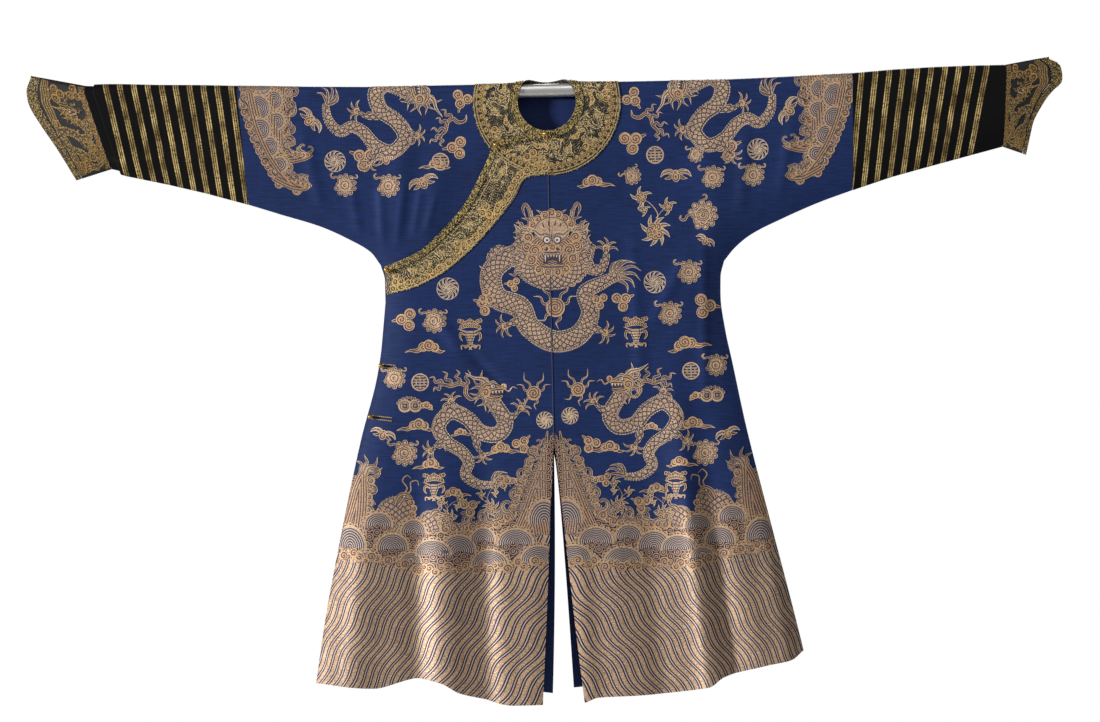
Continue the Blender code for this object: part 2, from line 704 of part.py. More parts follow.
def rod(material):
    """The display rod inside the shoulders and sleeves."""
    shape = bmesh.new()
    bmesh.ops.create_cone(
        shape,
        cap_ends=True,
        segments=32,
        radius1=ROD_RADIUS,
        radius2=ROD_RADIUS,
        depth=2 * ROD_HALF_LENGTH,
    )
    mesh = bpy.data.meshes.new("rod")
    shape.to_mesh(mesh)
    shape.free()
    mesh.materials.append(material)
    made = new_object("rod", mesh)
    made.rotation_euler = (0.0, math.pi / 2, 0.0)
    return made


def finish(name, colour, roughness, metallic=0.0):
    """A plain material in the piece's own colour."""
    material = bpy.data.materials.new(name)
    material.use_nodes = True
    shader = material.node_tree.nodes["Principled BSDF"]
    shader.inputs["Base Color"].default_value = (*colour, 1.0)
    shader.inputs["Roughness"].default_value = roughness
    shader.inputs["Metallic"].default_value = metallic
    return material


for old in list(bpy.data.objects):
    bpy.data.objects.remove(old)
ROBE = bpy.data.collections.new("dragon_robe")
bpy.context.scene.collection.children.link(ROBE)

blue_silk = finish("blue_silk", (0.030, 0.055, 0.180), 0.55)
dark_brocade = finish("dark_brocade", (0.230, 0.160, 0.070), 0.50)
dark_edging = finish("dark_edging", (0.110, 0.085, 0.035), 0.50)
black_satin = finish("black_satin", (0.020, 0.019, 0.022), 0.40)
gilt = finish("gilt", (0.600, 0.400, 0.140), 0.30, 1.0)
gold_cord = finish("gold_cord", (0.420, 0.300, 0.120), 0.60)
steel = finish("steel", (0.620, 0.620, 0.630), 0.28, 1.0)

rod(steel)
body_half("body_left", LEFT, blue_silk)
body_half("body_right", RIGHT, blue_silk)
outer_front(blue_silk)
lapel_pieces(dark_brocade, dark_edging)
round_band("collar_ring", NECK_RADIUS, COLLAR_RADIUS, 0, 4, dark_brocade)
round_band("neck_binding", NECK_RADIUS, BINDING_RADIUS, 1, 1, dark_edging)
sleeves(black_satin)
cuffs(dark_brocade, dark_edging)
build_buttons(gilt, gold_cord)
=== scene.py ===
"""A woven silk dragon robe on a display rod: its cloth, woven pattern, trimmings and fittings.

Metres, +Z up, +X to the viewer's right, front facing -Y. Right and left in names are the wearer's,
so the right half lies at -X. Cloth is laid out on a flat pattern: x across, and s, the distance
from the shoulder fold, positive down the front and negative down the back. hang() takes a point
of the pattern to its place on the hanging robe.
"""

import math
from collections import namedtuple

import bmesh
import bpy
import numpy as np
from mathutils import Matrix


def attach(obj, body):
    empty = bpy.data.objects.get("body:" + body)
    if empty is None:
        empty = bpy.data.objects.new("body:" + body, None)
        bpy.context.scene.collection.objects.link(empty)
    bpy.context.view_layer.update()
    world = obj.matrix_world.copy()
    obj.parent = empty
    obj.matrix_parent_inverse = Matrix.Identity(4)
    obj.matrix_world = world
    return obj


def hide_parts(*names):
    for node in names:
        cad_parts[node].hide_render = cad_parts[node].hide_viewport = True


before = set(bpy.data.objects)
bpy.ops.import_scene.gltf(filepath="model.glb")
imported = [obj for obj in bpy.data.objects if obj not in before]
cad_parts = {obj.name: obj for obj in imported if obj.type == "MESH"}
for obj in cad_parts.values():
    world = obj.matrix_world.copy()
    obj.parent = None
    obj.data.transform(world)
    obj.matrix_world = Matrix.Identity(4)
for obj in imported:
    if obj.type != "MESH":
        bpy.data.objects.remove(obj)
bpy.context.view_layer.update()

bl_info = {
    "name": "Dragon robe",
    "version": (1, 0, 0),
    "blender": (4, 5, 0),
    "location": "View3D > Sidebar > Robe",
    "description": "Makes a woven silk dragon robe on its display rod, piece by piece",
    "category": "Object",
}

# Cloth and rod
ROD_RADIUS = 0.014
ROD_HALF_LENGTH = 0.950
CLOTH = 0.0012
BAND = 0.0010
SEAM = 0.0003
FOLD_RADIUS = (ROD_RADIUS + SEAM + CLOTH / 2) / math.cos(math.pi / 16)
WRAP = math.pi / 2 * FOLD_RADIUS
EDGE_GAP = 0.0008
TUBE_SEAM = 0.0007
CLOSING = 0.070
SLOPE_STEP = 0.001
EDGE_EASE = 0.030
GRID_STEP = 0.0052

# Layers, each the distance of a piece's middle from the panel below it
ON_PANEL = CLOTH / 2 + 0.0004 + BAND / 2
ON_BAND = BAND + 0.0006
OVERLAP_TOP = 0.0048
OVERLAP_SIDE = 0.0050
OVERLAP_HEM = 0.0070
OVERLAP_TOP_REACH = 0.250
OVERLAP_DEEP_FROM = -0.300
OVERLAP_DEEP_OVER = 0.350
OVERLAP_EASE = 0.160
OVERLAP_EASE_FROM = 0.030
OVERLAP_EASE_OVER = 0.079

# Neck and collar, as circles on the flat pattern
NECK_CENTRE = 0.048
NECK_RADIUS = 0.061
BINDING_RADIUS = 0.077
COLLAR_RADIUS = 0.156
COLLAR_TUCK = 0.160
NECK_STAND = 0.007
NECK_STAND_HALF = 0.095

# Openings in the skirt
FRONT_SLIT_TOP = -0.735
BACK_SLIT_TOP = -0.770
UNDER_EDGE = 0.055
UNDER_EDGE_FROM = -0.450
UNDER_EDGE_OVER = 0.300
UNDER_LAST_SHARE = 0.78
UNDER_INSET = 0.002
SKIRT_JOIN = 0.18

FRONT, BACK = 1, -1
Half = namedtuple("Half", "sign seam_top seam_low side under hem back_hem slit back_slit back_bow")
Point = namedtuple("Point", "x z")
Space = namedtuple("Space", "z half")
Rise = namedtuple("Rise", "x up")
Fold = namedtuple("Fold", "face x0 z0 x1 z1 width height hem")
Lapel = namedtuple("Lapel", "x_top z_top x_low z_low")
Ring = namedtuple("Ring", "x_top z_top x_low z_low radius out")
Swell = namedtuple("Swell", "share out")
Button = namedtuple("Button", "name x z run_x run_z layers")


def rows(kind, *values):
    """A table of named rows."""
    return tuple(kind(*row) for row in values)


# Half the space between front and back at each height, and the rise of the shoulder fold
SPACES = rows(
    Space, (0.0, FOLD_RADIUS), (-0.1, 0.0135), (-0.25, 0.011), (-0.6, 0.0115), (-0.9, 0.014), (-1.3, 0.019)
)
RISES = rows(Rise, (0.380, 0.0), (0.500, 0.003), (0.650, 0.008))

RIGHT = Half(
    sign=-1,
    seam_top=0.650,
    seam_low=0.632,
    side=rows(
        Point,
        (0.356, -0.361),
        (0.350, -0.390),
        (0.350, -0.440),
        (0.357, -0.526),
        (0.368, -0.593),
        (0.405, -0.727),
        (0.451, -0.927),
        (0.486, -1.095),
        (0.510, -1.239),
    ),
    under=rows(
        Point, (0.356, -0.361), (0.376, -0.333), (0.419, -0.306), (0.482, -0.276), (0.565, -0.249), (0.632, -0.227)
    ),
    hem=rows(
        Point,
        (0.036, -1.289),
        (0.095, -1.289),
        (0.154, -1.276),
        (0.212, -1.261),
        (0.250, -1.238),
        (0.300, -1.229),
        (0.388, -1.248),
        (0.510, -1.239),
    ),
    back_hem=rows(Point, (0.013, -1.270), (0.190, -1.245), (0.300, -1.222), (0.510, -1.234)),
    slit=0.036,
    back_slit=0.013,
    back_bow=1.9,
)
LEFT = Half(
    sign=1,
    seam_top=0.644,
    seam_low=0.639,
    side=rows(
        Point,
        (0.366, -0.366),
        (0.358, -0.398),
        (0.357, -0.440),
        (0.366, -0.515),
        (0.378, -0.575),
        (0.404, -0.710),
        (0.456, -0.935),
        (0.494, -1.095),
        (0.516, -1.192),
    ),
    under=rows(
        Point, (0.366, -0.366), (0.390, -0.338), (0.425, -0.311), (0.485, -0.282), (0.569, -0.247), (0.639, -0.223)
    ),
    hem=rows(
        Point,
        (0.054, -1.287),
        (0.081, -1.277),
        (0.199, -1.273),
        (0.258, -1.268),
        (0.317, -1.259),
        (0.347, -1.240),
        (0.436, -1.219),
        (0.490, -1.210),
        (0.516, -1.192),
    ),
    back_hem=rows(Point, (0.031, -1.259), (0.200, -1.245), (0.340, -1.225), (0.516, -1.188)),
    slit=0.054,
    back_slit=0.031,
    back_bow=0.7,
)

# Folds: a ridge or trough from its start, where it fades in, to its end. A hem fold runs on.
FOLDS = rows(
    Fold,
    (FRONT, 0.235, -0.480, 0.325, -1.270, 0.036, 0.017, True),
    (FRONT, 0.330, -0.800, 0.430, -1.230, 0.034, 0.009, True),
    (FRONT, 0.090, -0.700, 0.150, -1.290, 0.050, 0.009, True),
    (FRONT, -0.225, -0.640, -0.238, -1.260, 0.040, 0.016, True),
    (FRONT, -0.110, -0.800, -0.120, -1.290, 0.036, 0.010, True),
    (FRONT, -0.360, -0.760, -0.420, -1.250, 0.036, 0.007, True),
    (FRONT, -0.300, -0.060, -0.330, -0.330, 0.030, 0.004, False),
    (FRONT, -0.215, -0.090, -0.270, -0.360, 0.030, 0.004, False),
    (FRONT, 0.330, -0.060, 0.350, -0.400, 0.034, 0.003, False),
    (BACK, 0.130, -0.560, 0.170, -1.270, 0.046, 0.014, True),
    (BACK, 0.300, -0.640, 0.380, -1.240, 0.042, 0.013, True),
    (BACK, -0.150, -0.600, -0.190, -1.270, 0.046, 0.014, True),
    (BACK, -0.310, -0.680, -0.370, -1.240, 0.042, 0.012, True),
    (BACK, 0.300, -0.080, 0.330, -0.380, 0.034, 0.004, False),
    (BACK, -0.300, -0.080, -0.330, -0.380, 0.034, 0.004, False),
    (FRONT, 0.250, -0.560, 0.313, -1.270, 0.011, 0.0036, True),
    (FRONT, -0.400, -0.800, -0.432, -1.250, 0.022, 0.0035, True),
    (FRONT, -0.284, -0.680, -0.296, -1.260, 0.030, -0.010, True),
    (FRONT, -0.150, -0.640, -0.142, -1.280, 0.026, -0.010, True),
    (FRONT, -0.045, -0.770, -0.060, -1.290, 0.036, 0.009, True),
    (FRONT, 0.040, -0.760, 0.062, -1.280, 0.022, 0.007, True),
    (FRONT, 0.300, -0.620, 0.368, -1.250, 0.020, -0.007, True),
    (FRONT, 0.425, -0.760, 0.485, -1.200, 0.026, 0.009, True),
    (FRONT, 0.180, -0.700, 0.220, -1.270, 0.024, -0.005, True),
    (FRONT, -0.420, -0.170, -0.395, -0.320, 0.010, 0.0022, False),
    (FRONT, -0.355, -0.160, -0.350, -0.345, 0.009, 0.0026, False),
    (FRONT, -0.300, -0.165, -0.322, -0.335, 0.008, 0.0022, False),
    (FRONT, -0.262, -0.170, -0.290, -0.320, 0.007, 0.0020, False),
    (FRONT, -0.232, -0.200, -0.262, -0.300, 0.006, 0.0016, False),
    (FRONT, -0.190, -0.530, -0.070, -0.660, 0.012, -0.0034, False),
    (FRONT, -0.255, -0.450, -0.180, -0.560, 0.012, 0.0034, False),
    (FRONT, -0.300, -0.400, -0.130, -0.420, 0.010, 0.0022, False),
    (FRONT, 0.300, -0.330, 0.200, -0.520, 0.013, 0.0028, False),
    (FRONT, 0.325, -0.280, 0.318, -0.700, 0.011, 0.0032, False),
    (FRONT, 0.420, -0.060, 0.400, -0.290, 0.013, 0.0028, False),
    (FRONT, 0.520, -0.050, 0.480, -0.260, 0.012, 0.0022, False),
    (FRONT, -0.520, -0.050, -0.470, -0.270, 0.012, 0.0022, False),
    (FRONT, 0.170, -0.260, 0.190, -0.700, 0.014, 0.0024, False),
    (BACK, 0.420, -0.080, 0.395, -0.300, 0.012, 0.0020, False),
    (BACK, -0.420, -0.080, -0.395, -0.300, 0.012, 0.0020, False),
    (BACK, 0.250, -0.360, 0.190, -0.620, 0.014, 0.0020, False),
    (BACK, -0.250, -0.380, -0.170, -0.640, 0.014, 0.0020, False),
    (BACK, 0.060, -0.160, 0.075, -0.560, 0.014, 0.0014, False),
    (BACK, -0.070, -0.180, -0.060, -0.520, 0.014, 0.0014, False),
)

# The lapel band's upper and lower edges, from the centre front to the underarm, x outwards
LAPEL = rows(
    Lapel,
    (0.000, -0.084, 0.000, -0.178),
    (0.040, -0.091, 0.024, -0.180),
    (0.080, -0.099, 0.049, -0.186),
    (0.113, -0.108, 0.060, -0.203),
    (0.126, -0.140, 0.069, -0.221),
    (0.150, -0.188, 0.092, -0.252),
    (0.176, -0.234, 0.120, -0.285),
    (0.219, -0.283, 0.165, -0.332),
    (0.275, -0.333, 0.233, -0.385),
    (0.310, -0.350, 0.290, -0.411),
    (0.347, -0.363, 0.346, -0.424),
)
LAPEL_EDGING = 0.014

# Sleeve and cuff rings: shoulder crest, bottom crease and the radius of the upper fold
SLEEVE_RIGHT = rows(
    Ring,
    (0.732, 0.0265, 0.722, -0.201, FOLD_RADIUS, 0.0),
    (0.816, 0.0285, 0.797, -0.182, FOLD_RADIUS, 0.0),
    (0.890, 0.0285, 0.866, -0.163, FOLD_RADIUS, 0.0033),
)
TUCK_RIGHT = Ring(0.951, 0.0280, 0.899, -0.154, FOLD_RADIUS, 0.0)
TUCK_DEPTH = 0.014
TUCK_TURN = 0.0011
CUFF_SEAM_RIGHT = Ring(0.969, 0.0295, 0.918, -0.146, 0.0150, 0.0)
SLEEVE_LEFT = rows(
    Ring,
    (0.727, 0.0285, 0.722, -0.197, FOLD_RADIUS, 0.0),
    (0.811, 0.0320, 0.800, -0.177, FOLD_RADIUS, 0.0),
    (0.890, 0.0335, 0.880, -0.157, FOLD_RADIUS, 0.0),
)
CUFF_SEAM_LEFT = Ring(0.965, 0.0335, 0.957, -0.138, 0.0150, 0.0)
CUFF_EDGE_RIGHT = Ring(1.084, 0.0535, 0.993, -0.168, 0.0050, 0.0)
CUFF_EDGE_LEFT = Ring(1.052, 0.0490, 1.006, -0.156, 0.0050, 0.0)
EDGING_START = 0.84
SWELL_RIGHT = rows(Swell, (0.0, 0.0), (0.14, 0.022), (0.28, 0.0285), (0.45, 0.023), (0.70, 0.0105), (1.0, 0.0))
SWELL_LEFT = rows(
    Swell, (0.0, 0.006), (0.06, 0.031), (0.24, 0.043), (0.34, 0.027), (0.45, 0.0145), (0.70, 0.0), (1.0, 0.0)
)

# Ball buttons, x outwards on the right half, and the cord loop that holds each
BUTTONS = rows(
    Button,
    ("neck", 0.0045, -0.0930, 0.0, -0.012, 2),
    ("lapel", 0.1085, -0.1135, -0.006, -0.010, 2),
    ("underarm", 0.3430, -0.3700, -0.009, -0.006, 2),
    ("waist", 0.3600, -0.5720, -0.032, -0.003, 0),
    ("hip", 0.3840, -0.6790, -0.046, -0.006, 0),
)
BALL_RADIUS = 0.0048
SHANK_RADIUS = 0.0013
SHANK_LENGTH = 0.0042
LOOP_CORD = 0.0010


# The flat pattern and how it hangs


def smooth(t):
    """0 to 1, level at both ends."""
    t = np.clip(t, 0.0, 1.0)
    return t * t * (3 - 2 * t)


def read(table, at, where, what):
    """A table's column, read along a smooth curve through its rows that never overshoots them."""
    places = np.array([getattr(row, where) for row in table])
    values = np.array([getattr(row, what) for row in table])
    if places[0] > places[-1]:
        places, values = places[::-1], values[::-1]
    at = np.clip(at, places[0], places[-1])
    rise = np.diff(values) / np.diff(places)
    before, after = rise[:-1], rise[1:]
    both = np.where(before * after > 0, before + after, 1.0)
    inner = np.where(before * after > 0, 2 * before * after / both, 0.0)
    slope = np.concatenate([rise[:1], inner, rise[-1:]])
    k = np.clip(np.searchsorted(places, at, side="right") - 1, 0, len(places) - 2)
    span = places[k + 1] - places[k]
    t = (at - places[k]) / span
    level = smooth(t)
    return (
        values[k] * (1 - level)
        + values[k + 1] * level
        + span * t * (1 - t) * (slope[k] * (1 - t) - slope[k + 1] * t)
    )


def refined(places, step):
    """The same places with more between them, none further apart than step."""
    out = [places[0]]
    for a, b in zip(places, places[1:]):
        count = max(1, math.ceil(abs(b - a) / step - 1e-6))
        out += [a + (b - a) * (k + 1) / count for k in range(count)]
    return np.array(out)


def outline_distance(x, z):
    """How far a point lies inside the outline of the sleeve's underside and the side seam."""
    best = np.full(np.shape(x), 1.0)
    for half in (RIGHT, LEFT):
        wrist = (half.under[-1].x + 0.4, half.under[-1].z + 0.11)
        below = (half.side[-1].x + 0.02, half.side[-1].z - 0.2)
        under_x = refined([point.x for point in reversed(half.under)], 0.03)
        side_z = refined([point.z for point in half.side], 0.04)[1:]
        line = [wrist, *zip(under_x, read(half.under, under_x, "x", "z"))]
        line += [*zip(read(half.side, side_z, "z", "x"), side_z), below]
        for a, b in zip(np.array(line), np.array(line)[1:]):
            along = b - a
            px, pz = x * half.sign - a[0], z - a[1]
            t = np.clip((px * along[0] + pz * along[1]) / (along @ along), 0.0, 1.0)
            best = np.minimum(best, np.hypot(px - t * along[0], pz - t * along[1]))
    return best


LOOKUP_X = np.arange(-1.15, 1.151, 0.005)
LOOKUP_Z = np.arange(-1.35, 0.081, 0.005)
LOOKUP = outline_distance(*np.meshgrid(LOOKUP_X, LOOKUP_Z, indexing="ij"))


def closing(distance):
    """How open the robe is this far inside its outline, from 0 at the seam to 1."""
    q = np.clip(distance / CLOSING, 0.0, 1.0)
    return q * (2 - q)


def inside(x, z):
    """How far a point lies inside the outline, read between the points of the lookup."""
    i = np.clip((x - LOOKUP_X[0]) / 0.005, 0, len(LOOKUP_X) - 1.001)
    k = np.clip((z - LOOKUP_Z[0]) / 0.005, 0, len(LOOKUP_Z) - 1.001)
    i0, k0 = i.astype(int), k.astype(int)
    u, v = i - i0, k - k0
    near = LOOKUP[i0, k0] * (1 - u) + LOOKUP[i0 + 1, k0] * u
    far = LOOKUP[i0, k0 + 1] * (1 - u) + LOOKUP[i0 + 1, k0 + 1] * u
    return near * (1 - v) + far * v


def fold_depth(x, z, face):
    """How far the folds push the cloth out from its plain form."""
    depth = np.zeros(np.shape(x))
    for fold in FOLDS:
        if fold.face != face:
            continue
        run = np.array([fold.x1 - fold.x0, fold.z1 - fold.z0])
        length = np.hypot(*run)
        t = ((x - fold.x0) * run[0] + (z - fold.z0) * run[1]) / length**2
        off = ((x - fold.x0) * run[1] - (z - fold.z0) * run[0]) / length
        fade = smooth(t / 0.7) if fold.hem else smooth(t * 3) * smooth((1 - t) * 3)
        depth = depth + fold.height * fade * np.exp(-((off / fold.width) ** 2))
    return depth


def hang(x, s):
    """The middle of the cloth at flat pattern points (x, s)."""
    x, s = np.asarray(x, float), np.asarray(s, float)
    away = np.abs(s)
    rise = read(RISES, np.abs(x), "x", "up")
    angle = np.minimum(away, WRAP) / FOLD_RADIUS
    stand = NECK_STAND * smooth(1 - np.abs(x) / NECK_STAND_HALF) * smooth(1 - away / 0.10)
    z = rise + FOLD_RADIUS * np.cos(angle) - np.maximum(away - WRAP, 0.0) + stand
    space = read(SPACES, z, "z", "half")
    depths = np.where(s < 0, fold_depth(x, z, BACK), fold_depth(x, z, FRONT))
    below = EDGE_GAP + (space - EDGE_GAP + depths) * closing(inside(x, z))
    y = np.where(away <= WRAP, FOLD_RADIUS * np.sin(angle), below)
    return np.stack([x, np.where(s < 0, y, -y), z], axis=-1)


def moved_out(x, s, lift):
    """Pattern points hung and then moved out from the cloth by lift, straight out at its edges."""
    x, s = np.asarray(x, float), np.asarray(s, float)
    across = hang(x + SLOPE_STEP, s) - hang(x - SLOPE_STEP, s)
    down = hang(x, s + SLOPE_STEP) - hang(x, s - SLOPE_STEP)
    out = np.cross(across, -down)
    hung = hang(x, s)
    out[..., 0] *= smooth(inside(hung[..., 0], hung[..., 2]) / EDGE_EASE)
    out /= np.linalg.norm(out, axis=-1, keepdims=True)
    return hung + out * np.asarray(lift)[..., None]


def flat_of(z):
    """Pattern distance from the shoulder fold to a height below the rod, on the body."""
    return WRAP - np.asarray(z, float)


height_of = flat_of  # The same line read the other way: z = WRAP - s


def overlap_lift(x, z):
    """How far the outer front's middle stands out from the under front below it."""
    side = OVERLAP_TOP + (OVERLAP_SIDE - OVERLAP_TOP) * smooth(np.abs(x) / OVERLAP_TOP_REACH)
    deep = smooth((OVERLAP_DEEP_FROM - np.asarray(z)) / OVERLAP_DEEP_OVER)
    return side + (OVERLAP_HEM - side) * deep


def left_front_lift(x, s):
    """The left front rises to meet the outer front at the centre seam."""
    near = np.clip(1 - x / OVERLAP_EASE, 0.0, 1.0)
    return overlap_lift(0 * x, height_of(s)) * near * smooth((s - OVERLAP_EASE_FROM) / OVERLAP_EASE_OVER)


def circle_reach(radius, s):
    """Half the width of a circle about the neck's centre, at pattern row s."""
    return np.sqrt(np.maximum(radius**2 - (np.asarray(s, float) - NECK_CENTRE) ** 2, 0.0))


# Meshes


Patch = namedtuple("Patch", "points x s slot", defaults=(0,))


def quads(count, columns, start=0):
    """Corner numbers of the quads of a grid of count rows."""
    i, j = np.meshgrid(np.arange(count - 1), np.arange(columns - 1), indexing="ij")
    first = (i * columns + j + start).ravel()
    return np.stack([first, first + 1, first + columns + 1, first + columns], axis=-1)


def cloth_mesh(name, patches):
    """One open surface from its patches, with their flat pattern as the UV map "pattern"."""
    points, flat, faces, slots = [], [], [], []
    start = 0
    for patch in patches:
        count, columns = patch.points.shape[:2]
        points.append(patch.points.reshape(-1, 3))
        flat.append(np.stack(np.broadcast_arrays(patch.x, patch.s), axis=-1).reshape(-1, 2))
        faces.append(quads(count, columns, start))
        slots.append(np.full((count - 1) * (columns - 1), patch.slot))
        start += count * columns
    points, flat, faces = np.concatenate(points), np.concatenate(flat), np.concatenate(faces)
    mesh = bpy.data.meshes.new(name)
    mesh.from_pydata(points.tolist(), [], faces.tolist())
    mesh.polygons.foreach_set("material_index", np.concatenate(slots))
    mesh.uv_layers.new(name="pattern").uv.foreach_set("vector", flat[faces.ravel()].ravel())
    shape = bmesh.new()
    shape.from_mesh(mesh)
    bmesh.ops.remove_doubles(shape, verts=shape.verts, dist=1e-5)
    bmesh.ops.recalc_face_normals(shape, faces=shape.faces)
    facing = sum(face.normal.y * face.calc_center_median().y for face in shape.faces)
    if facing < 0:
        bmesh.ops.reverse_faces(shape, faces=shape.faces)
    shape.to_mesh(mesh)
    shape.free()
    return mesh


def new_piece(name, mesh, materials):
    """A new object in the scene with these materials in its slots."""
    piece = bpy.data.objects.new(name, mesh)
    bpy.context.scene.collection.objects.link(piece)
    for material in materials:
        piece.data.materials.append(material)
    return piece


def only(piece):
    """Make a piece the only one selected, and active."""
    bpy.ops.object.select_all(action="DESELECT")
    piece.select_set(True)
    bpy.context.view_layer.objects.active = piece


def apply_all(piece, angle=math.radians(40)):
    """Apply a piece's modifiers and shade it smooth but for its sharp edges."""
    only(piece)
    for modifier in list(piece.modifiers):
        bpy.ops.object.modifier_apply(modifier=modifier.name)
    bpy.ops.object.shade_smooth_by_angle(angle=angle)


def settle(piece, slot, *nodes):
    """Ride a finished piece on the robe, in place of its CAD nodes."""
    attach(piece, "root")
    if nodes:
        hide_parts(*nodes)
    return piece


def cloth_wall(name, patches, thickness, materials):
    """A cloth piece: an open surface given its thickness, with its lining in the second slot."""
    wall = new_piece(name, cloth_mesh(name, patches), materials)
    solidify = wall.modifiers.new("wall", "SOLIDIFY")
    solidify.thickness = thickness
    solidify.offset = 0.0
    solidify.use_even_offset = True
    solidify.thickness_clamp = 2.0
    solidify.material_offset = 1 if len(materials) > 1 else 0
    apply_all(wall)
    return wall


# Cut of the pieces


def inner_edge(half, face, z, s):
    """Where the half's inner edge lies: on the neck hole, at the centre seam or along the slit."""
    top, hem, out, bow = FRONT_SLIT_TOP, half.hem, half.slit, 1.0
    if face == BACK:
        top, hem, out, bow = BACK_SLIT_TOP, half.back_hem, half.back_slit, half.back_bow
    on_slit = np.clip((top - z) / (top - hem[0].z), 0.0, 1.0) ** bow
    return np.maximum(SEAM / 2 + out * on_slit, circle_reach(NECK_RADIUS, s * face))


def chest_rows(half, face):
    """Pattern rows of the upper body, from the shoulder fold to the underarm."""
    turns = np.linspace(0, math.pi / 2, 25)
    neck = NECK_CENTRE + NECK_RADIUS * np.sin(turns) if face == FRONT else []
    close = NECK_RADIUS - NECK_CENTRE
    key = [*np.linspace(0, WRAP, 9), *neck, float(flat_of(half.side[0].z))]
    if face == BACK:
        key += [close * 0.6, close * 0.9, close]
    return refined(sorted(key), GRID_STEP)


def skirt_grid(half, face, shares, columns, inset=0.0):
    """Pattern points of the skirt below the underarm: rows by share of the drop, columns by share."""
    hem = half.hem if face == FRONT else half.back_hem
    top = half.side[0].z
    shares = np.asarray(shares)[:, None]
    hem_x = hem[0].x + (hem[-1].x - hem[0].x) * columns
    z = top + (read(hem, hem_x, "x", "z") - top)[None, :] * shares
    s = flat_of(z)
    inner = inner_edge(half, face, z, s)
    side = read(half.side, z, "z", "x") - inset * smooth(shares * 25)
    return inner + (side - inner) * columns[None, :], s


def upper_sleeve_grid(half, face):
    """Pattern points of the sleeve cut in one with the body, out to its seam."""
    down = chest_rows(half, face)
    low = down[-1]
    stations = refined([point.x for point in half.under], 0.006)
    reach = (stations - stations[0]) / (stations[-1] - stations[0])
    below = np.clip((down - WRAP) / (low - WRAP), 0.0, 1.0)
    seam = half.seam_top + (half.seam_low - half.seam_top) * below - SEAM / 2
    x = stations[0] + (seam - stations[0])[:, None] * reach[None, :]
    bottom = WRAP - read(half.under, x, "x", "z") + read(RISES, x, "x", "up")
    past = WRAP + (down[:, None] - WRAP) * (bottom - WRAP) / (low - WRAP)
    return x, np.where(down[:, None] <= WRAP, down[:, None], past)


def hung_patch(half, face, x, s, slot=0):
    """Pattern grid to a patch of the hanging robe."""
    lift = left_front_lift(x, s) if half is LEFT and face == FRONT else 0 * x
    x, s = x * half.sign, s * face
    return Patch(moved_out(x, s, lift), x, s, slot)


COLUMNS = np.linspace(0.0, 1.0, 69)
SKIRT_SHARES = np.linspace(0.0, 1.0, 171)


def body_half(half):
    """Patches of the front, back and upper sleeve of one half, cut in one over the shoulder."""
    patches = []
    for face in (FRONT, BACK):
        s = np.repeat(chest_rows(half, face)[:, None], len(COLUMNS), axis=1)
        inner = inner_edge(half, face, height_of(s), s)
        x = inner + (half.side[0].x - inner) * COLUMNS[None, :]
        patches.append(hung_patch(half, face, x, s))
        patches.append(hung_patch(half, face, *upper_sleeve_grid(half, face)))
        if half is RIGHT and face == FRONT:
            shares = SKIRT_SHARES[SKIRT_SHARES <= UNDER_LAST_SHARE]
            x, s = skirt_grid(half, face, shares, COLUMNS, UNDER_INSET)
            back_from_slit = UNDER_EDGE * smooth((s - flat_of(UNDER_EDGE_FROM)) / UNDER_EDGE_OVER)
            x = x + (np.max(x, axis=1, keepdims=True) - x) * back_from_slit
            patches.append(hung_patch(half, face, x, s, slot=1))
        else:
            inset = UNDER_INSET if half is RIGHT else 0.0
            patches.append(hung_patch(half, face, *skirt_grid(half, face, SKIRT_SHARES, COLUMNS, inset)))
    return patches


def lapel_lines(shares):
    """Upper and lower edge of the lapel band at shares of its length."""
    x_low = LAPEL[-1].x_low * shares
    x_top = read(LAPEL, x_low, "x_low", "x_top")
    z_top, z_low = read(LAPEL, x_low, "x_low", "z_top"), read(LAPEL, x_low, "x_low", "z_low")
    return np.maximum(x_top, SEAM / 2), z_top, np.maximum(x_low, SEAM / 2), z_low


def outer_front():
    """The overlap, from the lapel's upper edge to the hem, closing at the wearer's right side."""
    x_top, z_top, x_low, z_low = lapel_lines(COLUMNS)
    x_skirt, s_skirt = skirt_grid(RIGHT, FRONT, SKIRT_SHARES[SKIRT_SHARES >= SKIRT_JOIN - 1e-6], COLUMNS)
    across = np.linspace(0.0, 1.0, 16)[:, None]
    x_band = x_top + (x_low - x_top) * across
    s_band = flat_of(z_top + (z_low - z_top) * across)
    between = np.linspace(0.0, 1.0, 36)[1:-1, None]
    x_mid = x_low + (x_skirt[0] - x_low) * between
    s_mid = s_band[-1] + (s_skirt[0] - s_band[-1]) * between
    x, s = np.vstack([x_band, x_mid, x_skirt]), np.vstack([s_band, s_mid, s_skirt])
    return Patch(moved_out(-x, s, overlap_lift(x, height_of(s))), -x, s)


def lapel_strip(first, last, layers):
    """A strip of the lapel between two distances from its upper edge. Beyond 1 m is the lower edge."""
    x_top, z_top, x_low, z_low = lapel_lines(np.linspace(0.0, 1.0, 97))
    width = np.hypot(x_low - x_top, z_low - z_top)
    first, last = np.minimum(first, width), np.minimum(last, width)
    across = (first + (last - first) * np.linspace(0.0, 1.0, 3 if layers else 17)[:, None]) / width
    x = x_top + (x_low - x_top) * across
    s = flat_of(z_top + (z_low - z_top) * across)
    lift = overlap_lift(x, height_of(s)) + ON_PANEL + ON_BAND * layers
    middle = np.stack([(x_top + x_low) / 2, (z_top + z_low) / 2], axis=-1)
    run = np.concatenate([[0.0], np.cumsum(np.linalg.norm(np.diff(middle, axis=0), axis=1))])
    return Patch(moved_out(-x, s, lift), run[None, :] + 0 * x, across * width)


